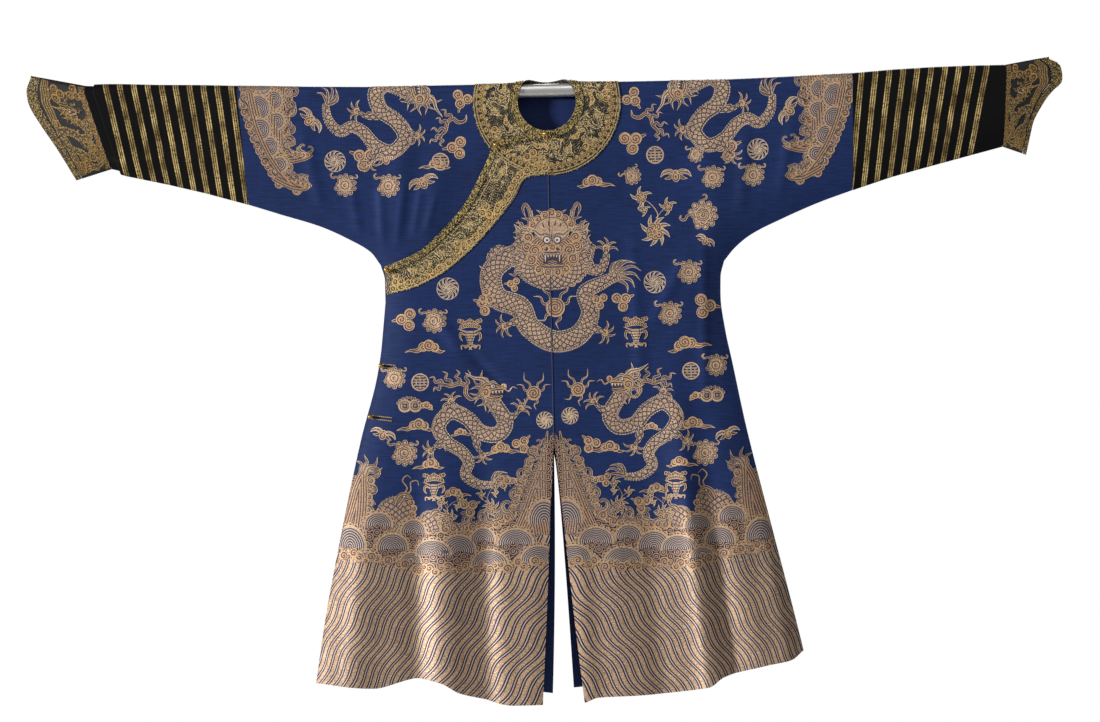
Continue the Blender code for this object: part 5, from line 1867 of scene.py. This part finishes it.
def on_bands(x, s):
    """Whether the collar ring or the lapel band lies uppermost there, clear of its edgings."""
    reach, z, away = np.hypot(x, s - NECK_CENTRE), height_of(s), np.abs(x)
    ring = (reach > BINDING_RADIUS + 0.0005) & (reach < COLLAR_RADIUS - 0.001)
    top, low = read(LAPEL, away, "x_top", "z_top"), read(LAPEL, away, "x_low", "z_low")
    in_front = (x < 0) & (s > 0) & (z < top + 0.001)
    steep = 1.0 + smooth((away - 0.09) / 0.04) * 0.6
    band = in_front & (z < top - LAPEL_EDGING * steep) & (z > low + 0.002) & (away < 0.34) & (reach > BINDING_RADIUS)
    return np.where(in_front, band, ring)


def woven_piece(name, figure, face, inks, bands=False):
    """A figure, in millimetres from the middle of the rod, laid thinly on the front or the back, or
    on the bands there."""
    corners, slots, (u, v, along, across, rim), level = flattened(figure)
    x, s = u * face / 1000, (WRAP - v / 1000) * face
    astride = (x[corners].min(axis=1) < 0) & (x[corners].max(axis=1) > 0)
    slit = FRONT_SLIT_TOP if face == FRONT else BACK_SLIT_TOP
    hidden = ~on_bands(x, s) if bands else under_bands(x, s)
    drop = hidden[corners].any(axis=1) | (astride & (height_of(np.abs(s))[corners].min(axis=1) < slit))
    x, s = kept_on(x, s)
    area = signed_area(x[corners], s[corners])
    drop |= np.abs(area) < 2e-8
    corners = np.where(area[:, None] > 0, corners[:, ::-1], corners)[~drop]
    rest = ON_PANEL + BAND / 2 - CLOTH / 2 if bands else 0.0
    points = moved_out(x, s, woven_lift(x, s) + rest + WOVEN_LIFT + level * LEVEL)
    layers = (("pattern", x, s), ("ink", along, across), ("rim", rim, 0 * rim))
    return woven_mesh(name, points, corners, slots[~drop], layers, inks, "dark_brocade" if bands else "blue_silk")


def woven_mesh(name, points, corners, slots, layers, inks, slot):
    """A woven figure's object from its points, faces, inks and pattern maps."""
    mesh = bpy.data.meshes.new(name)
    mesh.from_pydata(points.tolist(), [], corners.tolist())
    mesh.polygons.foreach_set("material_index", slots)
    for layer, one, two in layers:
        pairs = np.stack([one, two], axis=-1)[corners.ravel()]
        mesh.uv_layers.new(name=layer).uv.foreach_set("vector", pairs.ravel())
    shape = bmesh.new()
    shape.from_mesh(mesh)
    bmesh.ops.delete(shape, geom=[vertex for vertex in shape.verts if not vertex.link_faces], context="VERTS")
    bmesh.ops.remove_doubles(shape, verts=shape.verts, dist=1e-7)
    shape.to_mesh(mesh)
    shape.free()
    piece = new_piece(name, mesh, inks)
    only(piece)
    bpy.ops.object.shade_smooth()
    return settle(piece, slot)


def flattened(figure):
    """A figure's shapes as one set of faces, with the ink of each, and its values point by point."""
    shapes = figure.shapes
    first = np.cumsum([0, *(shape.u.size for shape in shapes)])
    corners = np.concatenate([quads(*shape.u.shape, start) for shape, start in zip(shapes, first)])
    slots = np.concatenate([np.full((len(shape.u) - 1) * (shape.u.shape[1] - 1), shape.ink) for shape in shapes])
    names = ("u", "v", "along", "across", "rim")
    fields = [np.concatenate([getattr(shape, name).ravel() for shape in shapes]) for name in names]
    return corners, slots, fields, np.repeat([shape.level for shape in shapes], [shape.u.size for shape in shapes])


def signed_area(a, b):
    """The flat area of each quad, negative where its corners run the other way round."""
    return (a * np.roll(b, -1, axis=1) - np.roll(a, -1, axis=1) * b).sum(axis=1) / 2


def woven_cuff(name, figure, rings, face, inks):
    """A figure laid on the front or back of a cuff: u outwards from its seam and v down it."""
    corners, slots, (u, v, along, across, rim), level = flattened(figure)
    grid = np.array(rings)
    half = grid.shape[1] // 2
    panel = (grid if face == FRONT else grid[:, ::-1])[:, : half + 1]
    out = np.cross(np.gradient(panel, axis=0), np.gradient(panel, axis=1))
    out /= np.linalg.norm(out, axis=2, keepdims=True)
    out *= -face * np.sign(out[len(out) // 2, half // 2, 1])
    fall = panel[len(panel) // 2, :, 2]
    u, v = np.clip(u, 1.5, CUFF_WIDE - 1.5), np.clip(v, 3.0, CUFF_TALL - 3.0)
    row = u / CUFF_WIDE * (len(panel) - 1)
    column = np.interp(v / CUFF_TALL, (fall[0] - fall) / (fall[0] - fall[-1]), np.arange(half + 1))
    i, j = row.astype(int), np.minimum(column.astype(int), half - 1)
    p, q = (row - i)[:, None], (column - j)[:, None]
    spot, away = (
        (field[i, j] * (1 - p) + field[i + 1, j] * p) * (1 - q)
        + (field[i, j + 1] * (1 - p) + field[i + 1, j + 1] * p) * q
        for field in (panel, out)
    )
    points = spot + away * (WOVEN_LIFT + level * LEVEL)[:, None]
    area = signed_area(u[corners], v[corners])
    turned = np.cross(points[corners[:, 2]] - points[corners[:, 0]], points[corners[:, 3]] - points[corners[:, 1]])
    wrong = (turned * away[corners[:, 0]]).sum(axis=1) < 0
    corners = np.where(wrong[:, None], corners[:, ::-1], corners)[np.abs(area) > 0.02]
    layers = (("pattern", u / 1000, v / 1000), ("ink", along, across), ("rim", rim, 0 * rim))
    return woven_mesh(name, points, corners, slots[np.abs(area) > 0.02], layers, inks, "dark_brocade")


def cuff_figures():
    """A dragon among clouds between two borders, u outwards from the cuff's seam and v down it."""
    made = Figure()
    for k in range(14):
        made.add(Figure().disc(8 + 2 * (k % 2), 6 + 13.4 * k, 7.6, (CONTOUR, CURL)[k % 2]))
    for k in range(4):
        path = [(CUFF_WIDE - 6 - 4.4 * k + 1.6 * (n % 2), 5 + 14.6 * n) for n in range(13)]
        made.add(Figure().strip(path, (2.6, 2.6), PLAIN, 5.0))
    clouds = ((28, 20, 0, 0.8), (66, 26, 40, 0.8), (30, 152, 90, 0.9), (70, 160, 0, 0.8), (26, 88, 0, 0.6))
    for u, v, turn, size in clouds:
        made.add(trefoil(), u, v, turn, size)
    made.add(wisps(), 62, 44, 150, 0.7).add(cloud(), 56, 172, 180, 0.6)
    made.add(spray(), 34, 128, 200, 0.45)
    return made.over().add(side_dragon(), 52, 64, 196, 0.5)


def gathered(places):
    """One figure from a table of places."""
    made = Figure()
    for place in places:
        made.add(place.make(), place.x, place.z, place.turn, place.size, place.flip)
    return made


def round_neck(reach, degrees):
    """The spot this many millimetres from the neck's centre, turned from straight below it."""
    a = math.radians(degrees)
    return reach * math.sin(a), 1000 * (WRAP - NECK_CENTRE) - reach * math.cos(a)


def collar_figures():
    """Small dragons, clouds and a border of waves round the collar ring and down the lapel."""
    made = Figure()
    for reach in (148, 153):
        made.add(Figure().strip([round_neck(reach, a) for a in range(-4, 365, 4)], (1.6, 1.6)))
    for k in range(60):
        for reach, radius, ink in ((140, 8.6, CONTOUR), (144, 3.2, DARK), (131, 3.6, CURL)):
            at = 6 * k + 3 * (reach != 140)
            made.add(Figure().disc(*round_neck(reach, at), radius, ink, tall=0.8, turn=at))
    for k in range(7):
        for step, reach, figure, size, turn in (
            (0, 112, side_dragon, 0.27, 270),
            (-19, 92, trefoil, 0.6, 180),
            (-31, 120, trefoil, 0.7, 180),
            (15, 94, cloud, 0.45, 180),
            (28, 90, bat, 0.5, 180),
        ):
            at = 24 + 51.4 * k + step
            made.add(figure(), *round_neck(reach, at), at + turn, size)
    shares = np.linspace(0.0, 1.0, 60)
    x_top, z_top, x_low, z_low = lapel_lines(shares)

    def down_lapel(share):
        """Points down the lapel at this share of its width."""
        x, z = x_top + (x_low - x_top) * share, z_top + (z_low - z_top) * share
        return np.stack([-x, z], axis=-1)[1:-1:2] * 1000

    for share, width in ((0.955, 1.8), (0.90, 1.8), (0.28, 1.4)):
        made.add(Figure().strip(down_lapel(share), (width, width)))
    for k, (u, v) in enumerate(smooth_path(down_lapel(0.84), 11.0)):
        made.add(Figure().disc(u, v, (8.0, 6.2)[k % 2], (CURL, CONTOUR)[k % 2]))
    for at, share, figure, turn, size, flip in (
        (0.10, 0.55, trefoil, 30, 0.8, False),
        (0.20, 0.52, side_dragon, -70, 0.28, False),
        (0.33, 0.6, trefoil, 60, 0.8, False),
        (0.42, 0.5, side_dragon, 140, 0.28, True),
        (0.52, 0.62, trefoil, 10, 0.8, True),
        (0.61, 0.5, side_dragon, 120, 0.29, True),
        (0.72, 0.6, trefoil, 60, 0.75, False),
        (0.80, 0.5, side_dragon, 105, 0.27, True),
        (0.92, 0.6, trefoil, 80, 0.7, False),
        (0.28, 0.8, cloud, 50, 0.5, False),
        (0.47, 0.82, cloud, 40, 0.5, True),
        (0.66, 0.82, cloud, 30, 0.5, False),
        (0.86, 0.8, cloud, 20, 0.5, True),
    ):
        k = int(at * 59)
        u = -(x_top[k] + (x_low[k] - x_top[k]) * share) * 1000
        v = (z_top[k] + (z_low[k] - z_top[k]) * share) * 1000
        made.add(figure(), u, v, turn, size, flip)
    return made


def centre_seam(face, finish, name, side=1):
    """The narrow dark ridge where the two halves are sewn together, from the collar to the slit, on
    the outside or, with side -1, in the lining."""
    low = flat_of(FRONT_SLIT_TOP if face == FRONT else BACK_SLIT_TOP) - 0.002
    high = COLLAR_RADIUS + NECK_CENTRE * face - 0.002
    s = refined([high, low], 0.004)[:, None] * face
    x = np.array([[-0.0011, 0.0, 0.0011]]) * face
    x, s = np.broadcast_arrays(x, s)
    lift = woven_lift(np.abs(x), s) + side * (CLOTH / 2 + np.array([[0.0007, 0.0012, 0.0007]]))
    return cloth_wall(name, [Patch(moved_out(x, s, lift), x, s)], 0.0003, [finish])


# What a user may change


def dye(name, description, default):
    return bpy.props.FloatVectorProperty(
        name=name, description=description, default=default[:3], subtype="COLOR", size=3, min=0.0, max=1.0
    )


class RobeCloth(bpy.types.PropertyGroup):
    """Sizes and colours of the cloth."""

    thickness: bpy.props.FloatProperty(
        name="Cloth", description="Thickness of the lined silk", default=CLOTH, min=0.0004, max=0.002, unit="LENGTH"
    )
    band: bpy.props.FloatProperty(
        name="Bands",
        description="Thickness of the collar and bands",
        default=BAND,
        min=0.0004,
        max=0.0015,
        unit="LENGTH",
    )
    ground: dye("Silk", "Lighter colour of the blue silk", srgb(26, 51, 106))
    deep: dye("Deep silk", "Darker colour of the blue silk", srgb(9, 23, 58))
    lining: dye("Lining", "Colour of the plain blue inside", srgb(24, 42, 92))
    black: dye("Black", "Ground of the sleeves, bands and edgings", srgb(11, 10, 11))


class RobeGold(bpy.types.PropertyGroup):
    """Colours of the gold thread."""

    gold: dye("Gold", "Bronze gold of the woven pattern", srgb(196, 158, 124))
    light: dye("Light gold", "Brightest thread", srgb(246, 222, 186))
    shade: dye("Shaded gold", "Worn and shaded thread", srgb(146, 111, 92))
    line: dye("Line", "Dark lines in the gold", srgb(26, 26, 54))
    pale: dye("Pale", "Pale lines between the dark ones", srgb(192, 174, 160))
    yellow: dye("Yellow gold", "Gold of the bands and the sleeve stripes", srgb(194, 162, 100))


def dyes():
    """The dyes that the user has set."""
    cloth, gold = bpy.context.scene.robe_cloth, bpy.context.scene.robe_gold
    picked = (cloth.ground, cloth.deep, cloth.lining, gold.gold, gold.light, gold.shade, gold.line, gold.pale)
    return Dyes(*((*c, 1.0) for c in picked))


def opaque(colour):
    return (*colour, 1.0)


# Operators


class PieceMaker:
    """Shared by the operators: a failed piece stops the script."""

    bl_options = {"REGISTER", "UNDO"}

    def execute(self, context):
        self.make(context)
        return {"FINISHED"}


class ROBE_OT_rod(PieceMaker, bpy.types.Operator):
    """Make the display rod"""

    bl_idname = "robe.rod"
    bl_label = "Display rod"

    def make(self, context):
        finish = plain_metal("brushed_rod", srgb(232, 230, 228), 0.40, 1.0)
        settle(display_rod(finish), "steel", "rod")


class ROBE_OT_body(PieceMaker, bpy.types.Operator):
    """Make the two body halves and the outer front"""

    bl_idname = "robe.body"
    bl_label = "Body and fronts"

    def make(self, context):
        cloth = context.scene.robe_cloth
        woven = silk("woven_blue_silk", dyes())
        plain = dyes()._replace(ground=opaque(cloth.lining), deep=opaque([c * 0.6 for c in cloth.lining]))
        lining = silk("plain_blue_lining", plain, woven=False)
        for name, patches, node, flat, area in (
            ("silk_left_half", body_half(LEFT), "body_left", (0.66, 2.62), 1.19),
            ("silk_right_half", body_half(RIGHT), "body_right", (0.66, 2.62), 1.08),
            ("silk_outer_front", [outer_front()], "outer_front_right", (0.51, 1.21), 0.42),
        ):
            piece = cloth_wall(name, patches, cloth.thickness, [woven, lining, lining])
            settle(piece, "blue_silk", node)
            name != "silk_left_half"


class ROBE_OT_weave(PieceMaker, bpy.types.Operator):
    """Weave the dragons, clouds, emblems and waves, and sew the centre seams over them"""

    bl_idname = "robe.weave"
    bl_label = "Woven figures"

    def make(self, context):
        inks = [woven_ink(kind, dyes()) for kind in INKS]
        low = dyes()._replace(gold=dimmed(dyes().gold, 0.72), light=dimmed(dyes().light, 0.72))
        sea_inks = [woven_ink(kind, low, "sea") for kind in INKS]
        sea, laid = Figure().both(water()), []
        for name, figure, face in (
            ("woven_front", gathered(FRONT_PLACES), FRONT),
            ("woven_back", gathered(FRONT_PLACES), BACK),
            ("woven_shoulders_front", gathered(SHOULDER_PLACES), FRONT),
            ("woven_shoulders_back", gathered([row for row in SHOULDER_PLACES if row.make is not side_dragon]), BACK),
            ("woven_sea_front", sea, FRONT),
            ("woven_sea_back", sea, BACK),
            ("woven_sleeve_sea_front", Figure().both(seam_water()), FRONT),
            ("woven_sleeve_sea_back", Figure().both(seam_water()), BACK),
        ):
            laid.append(woven_piece(name, figure, face, sea_inks if "sea" in name else inks))
        tree = Tree("seam_thread", 0.7)
        x, s = tree.flat()
        stitch = s.repeat(0.003).below(0.0008, 0.0006)
        thread = tree.finish(tree.mix(stitch, srgb(14, 18, 44), srgb(30, 40, 84)), None, stitch, 0.0002)
        for name, face, side in (
            ("centre_seam_front", FRONT, 1),
            ("centre_seam_back", BACK, 1),
            ("lining_seam", BACK, -1),
        ):
            laid.append(settle(centre_seam(face, thread, name, side), "blue_silk"))


class ROBE_OT_bands(PieceMaker, bpy.types.Operator):
    """Make the collar ring, the lapel band and their edgings"""

    bl_idname = "robe.bands"
    bl_label = "Collar and lapel"

    def make(self, context):
        cloth, gold = context.scene.robe_cloth, context.scene.robe_gold
        black = opaque(cloth.black)
        yellow = dyes()._replace(
            gold=opaque(gold.yellow),
            light=srgb(242, 222, 170),
            shade=srgb(112, 84, 48),
        )
        collar = dark_weave("collar_brocade", yellow, black, -0.42, 60.0)
        lapel = dark_weave("lapel_brocade", yellow, black, -0.24, 60.0)
        trim = edging("gold_speckled_edging", black, srgb(204, 176, 98))
        inks = [woven_ink(kind, yellow._replace(line=black, pale=srgb(226, 206, 150)), "yellow") for kind in INKS]
        figures = woven_piece("woven_on_bands", collar_figures(), FRONT, inks, bands=True)
        ring, edge = round_band(NECK_RADIUS, COLLAR_RADIUS, 0), round_band(NECK_RADIUS, BINDING_RADIUS, 1)
        band, strip = lapel_strip(0.0, 1.0, 0), lapel_strip(0.0, LAPEL_EDGING, 1)
        for name, patch, node, material, flat, area in (
            ("collar_brocade_ring", ring, "collar_ring", collar, (0.312, 0.312), 0.063),
            ("neck_edging", edge, "neck_binding", trim, (0.154, 0.154), 0.0072),
            ("lapel_brocade_band", band, "lapel_band", lapel, (0.095, 0.50), 0.036),
            ("lapel_speckled_edging", strip, "lapel_edging", trim, (LAPEL_EDGING, 0.50), 0.0065),
        ):
            slot = "dark_edging" if material is trim else "dark_brocade"
            piece = cloth_wall(name, [patch], cloth.band, [material])
            settle(piece, slot, node)
            laid = [figures] if name == "collar_brocade_ring" else []


class ROBE_OT_sleeves(PieceMaker, bpy.types.Operator):
    """Make the striped sleeve extensions, the cuffs and their edgings"""

    bl_idname = "robe.sleeves"
    bl_label = "Sleeves and cuffs"

    def make(self, context):
        cloth, gold = context.scene.robe_cloth, context.scene.robe_gold
        black = opaque(cloth.black)
        brocade = dark_weave("cuff_brocade", dyes()._replace(gold=srgb(146, 106, 60)), black, -0.85, 60.0)
        trim = edging("cuff_speckled_edging", black, srgb(176, 144, 76))
        rich = dyes()._replace(gold=srgb(134, 100, 52), light=srgb(208, 174, 106), shade=srgb(74, 52, 26), line=black)
        inks = [woven_ink(kind, rich, "rich") for kind in INKS]
        lining = silk("pale_sleeve_lining", dyes()._replace(ground=srgb(60, 84, 140), deep=srgb(38, 58, 110)), False)
        for side, half, seam, edge, swell in (
            ("right", RIGHT, CUFF_SEAM_RIGHT, CUFF_EDGE_RIGHT, SWELL_RIGHT),
            ("left", LEFT, CUFF_SEAM_LEFT, CUFF_EDGE_LEFT, SWELL_LEFT),
        ):
            satin = striped_satin(f"striped_satin_{side}", black, opaque(gold.yellow))
            patch = tube([creased(ring_points(ring, side=half.sign), half) for ring in sleeve_rings(half)])
            sleeve = cloth_wall(f"striped_sleeve_{side}", [patch], cloth.thickness, [satin, lining])
            settle(sleeve, "black_satin", f"sleeve_{side}")
            gap = TUBE_SEAM / 2 / (edge.x_low - seam.x_low)
            start = moved_in(seam, -TUBE_SEAM / 2)
            for name, node, first, last, finish, slot, flat, area in (
                ("brocade_cuff", "cuff", 0.0, EDGING_START - gap, brocade, "dark_brocade", (0.42, 0.12), 0.03),
                (
                    "speckled_cuff_edging",
                    "cuff_edging",
                    EDGING_START + gap,
                    1.0,
                    trim,
                    "dark_edging",
                    (0.5, 0.024),
                    0.0085,
                ),
            ):
                shares = np.linspace(first, last, 18 if node == "cuff" else 5)
                rings = [ring_points(mixed(start, edge, t), swell, t * t, half.sign) for t in shares]
                piece = cloth_wall(f"{name}_{side}", [tube(rings)], cloth.thickness, [finish, lining])
                settle(piece, slot, f"{node}_{side}")
                if node == "cuff":
                    for where, face in (("front", FRONT), ("back", BACK)):
                        woven_cuff(f"woven_cuff_{side}_{where}", cuff_figures(), rings, face, inks)


class ROBE_OT_fastenings(PieceMaker, bpy.types.Operator):
    """Make the ball buttons and their cord loops"""

    bl_idname = "robe.fastenings"
    bl_label = "Buttons and loops"

    def make(self, context):
        gilt = plain_metal("gilt_metal", srgb(214, 172, 96), 0.28, 420.0, brushed=False)
        tree = Tree("twisted_gold_cord", 0.55)
        around, along = tree.flat()
        # The twist's strands: the grooves between them are painted dark brown as painted shade, and the same wave
        # raises the strands as bumps.
        strands_and_groove_shade = ((along * 1400.0 + around * 1400.0).sine() * 0.5 + 0.5)
        cord = tree.finish(tree.mix(strands_and_groove_shade, srgb(92, 68, 34), srgb(206, 174, 104)), None, strands_and_groove_shade, 0.0002)
        for button in BUTTONS:
            settle(ball_button(button, gilt), "gilt", f"button_{button.name}")
            settle(cord_loop(button, cord), "gold_cord", f"loop_{button.name}")


class ROBE_OT_stage(PieceMaker, bpy.types.Operator):
    """Make the floor, the studio light and the camera"""

    bl_idname = "robe.stage"
    bl_label = "Stage"

    def make(self, context):
        scene = context.scene
        bpy.ops.object.select_all(action="DESELECT")
        bpy.ops.mesh.primitive_plane_add(size=3.4, location=(0.0, 0.0, -1.62))
        floor = context.object
        floor.name = "floor"
        tree = Tree("pale_floor", 0.8)
        place = tree.node("ShaderNodeTexCoord", {}, {}, "Object")
        grain = tree.noise(place, 3.0, 3.0)
        floor.data.materials.append(tree.finish(tree.mix(grain, srgb(226, 225, 222), srgb(236, 235, 233))))
        world = bpy.data.worlds.new("studio")
        world.use_nodes = True
        nodes, links = world.node_tree.nodes, world.node_tree.links
        back = nodes["Background"]
        back.inputs["Color"].default_value = (1.0, 1.0, 1.0, 1.0)
        back.inputs["Strength"].default_value = 0.16
        seen = nodes.new("ShaderNodeBackground")
        seen.inputs["Color"].default_value = (1.0, 1.0, 1.0, 1.0)
        seen.inputs["Strength"].default_value = 1.0
        choose, ray = nodes.new("ShaderNodeMixShader"), nodes.new("ShaderNodeLightPath")
        links.new(ray.outputs["Is Camera Ray"], choose.inputs[0])
        links.new(back.outputs[0], choose.inputs[1])
        links.new(seen.outputs[0], choose.inputs[2])
        links.new(choose.outputs[0], nodes["World Output"].inputs[0])
        scene.world = world
        for name, place, aim, size, power in (
            ("key", (-17.0, -7.4, 2.2), (0.0, 0.0, -0.70), 2.2, 5700.0),
            ("fill", (3.0, -4.2, 1.6), (0.0, 0.0, -0.6), 2.4, 22.0),
            ("top", (0.0, -1.9, 2.3), (0.0, 0.0, -0.1), 0.9, 14.0),
            ("back", (0.8, 3.6, 1.4), (0.0, 0.0, -0.6), 2.4, 130.0),
        ):
            lamp = bpy.data.lights.new(name, "AREA")
            lamp.size, lamp.energy = size, power
            holder = bpy.data.objects.new(name, lamp)
            scene.collection.objects.link(holder)
            holder.location = place
            aim_from = np.array(aim) - np.array(place)
            flat_run = math.hypot(aim_from[0], aim_from[1])
            holder.rotation_euler = (
                math.atan2(flat_run, -aim_from[2]),
                0.0,
                math.atan2(-aim_from[0], aim_from[1]),
            )
        lens = bpy.data.cameras.new("camera")
        lens.lens, lens.sensor_width = 100.0, 36.0
        view = bpy.data.objects.new("camera", lens)
        scene.collection.objects.link(view)
        view.location = (-0.0046, -6.43, -0.5691)
        view.rotation_euler = (math.pi / 2, math.radians(1.2), 0.0)
        scene.camera = view
        scene.view_settings.view_transform = "Standard"


class ROBE_PT_panel(bpy.types.Panel):
    """The robe's pieces, sizes and colours"""

    bl_label = "Dragon robe"
    bl_idname = "ROBE_PT_panel"
    bl_space_type = "VIEW_3D"
    bl_region_type = "UI"
    bl_category = "Robe"

    def draw(self, context):
        for group in (context.scene.robe_cloth, context.scene.robe_gold):
            for name in group.bl_rna.properties.keys():
                if name not in {"rna_type", "name"}:
                    self.layout.prop(group, name)
        for operator in OPERATORS:
            self.layout.operator(operator.bl_idname)


OPERATORS = (
    ROBE_OT_rod,
    ROBE_OT_body,
    ROBE_OT_weave,
    ROBE_OT_bands,
    ROBE_OT_sleeves,
    ROBE_OT_fastenings,
    ROBE_OT_stage,
)
CLASSES = (RobeCloth, RobeGold, *OPERATORS, ROBE_PT_panel)


def register():
    for kind in CLASSES:
        bpy.utils.register_class(kind)
    bpy.types.Scene.robe_cloth = bpy.props.PointerProperty(type=RobeCloth)
    bpy.types.Scene.robe_gold = bpy.props.PointerProperty(type=RobeGold)


def unregister():
    del bpy.types.Scene.robe_cloth
    del bpy.types.Scene.robe_gold
    for kind in reversed(CLASSES):
        bpy.utils.unregister_class(kind)


def main():
    """Make every piece."""
    register()
    bpy.ops.robe.rod()
    bpy.ops.robe.body()
    bpy.ops.robe.weave()
    bpy.ops.robe.bands()
    bpy.ops.robe.sleeves()
    bpy.ops.robe.fastenings()
    bpy.ops.robe.stage()


if __name__ == "__main__":
    main()
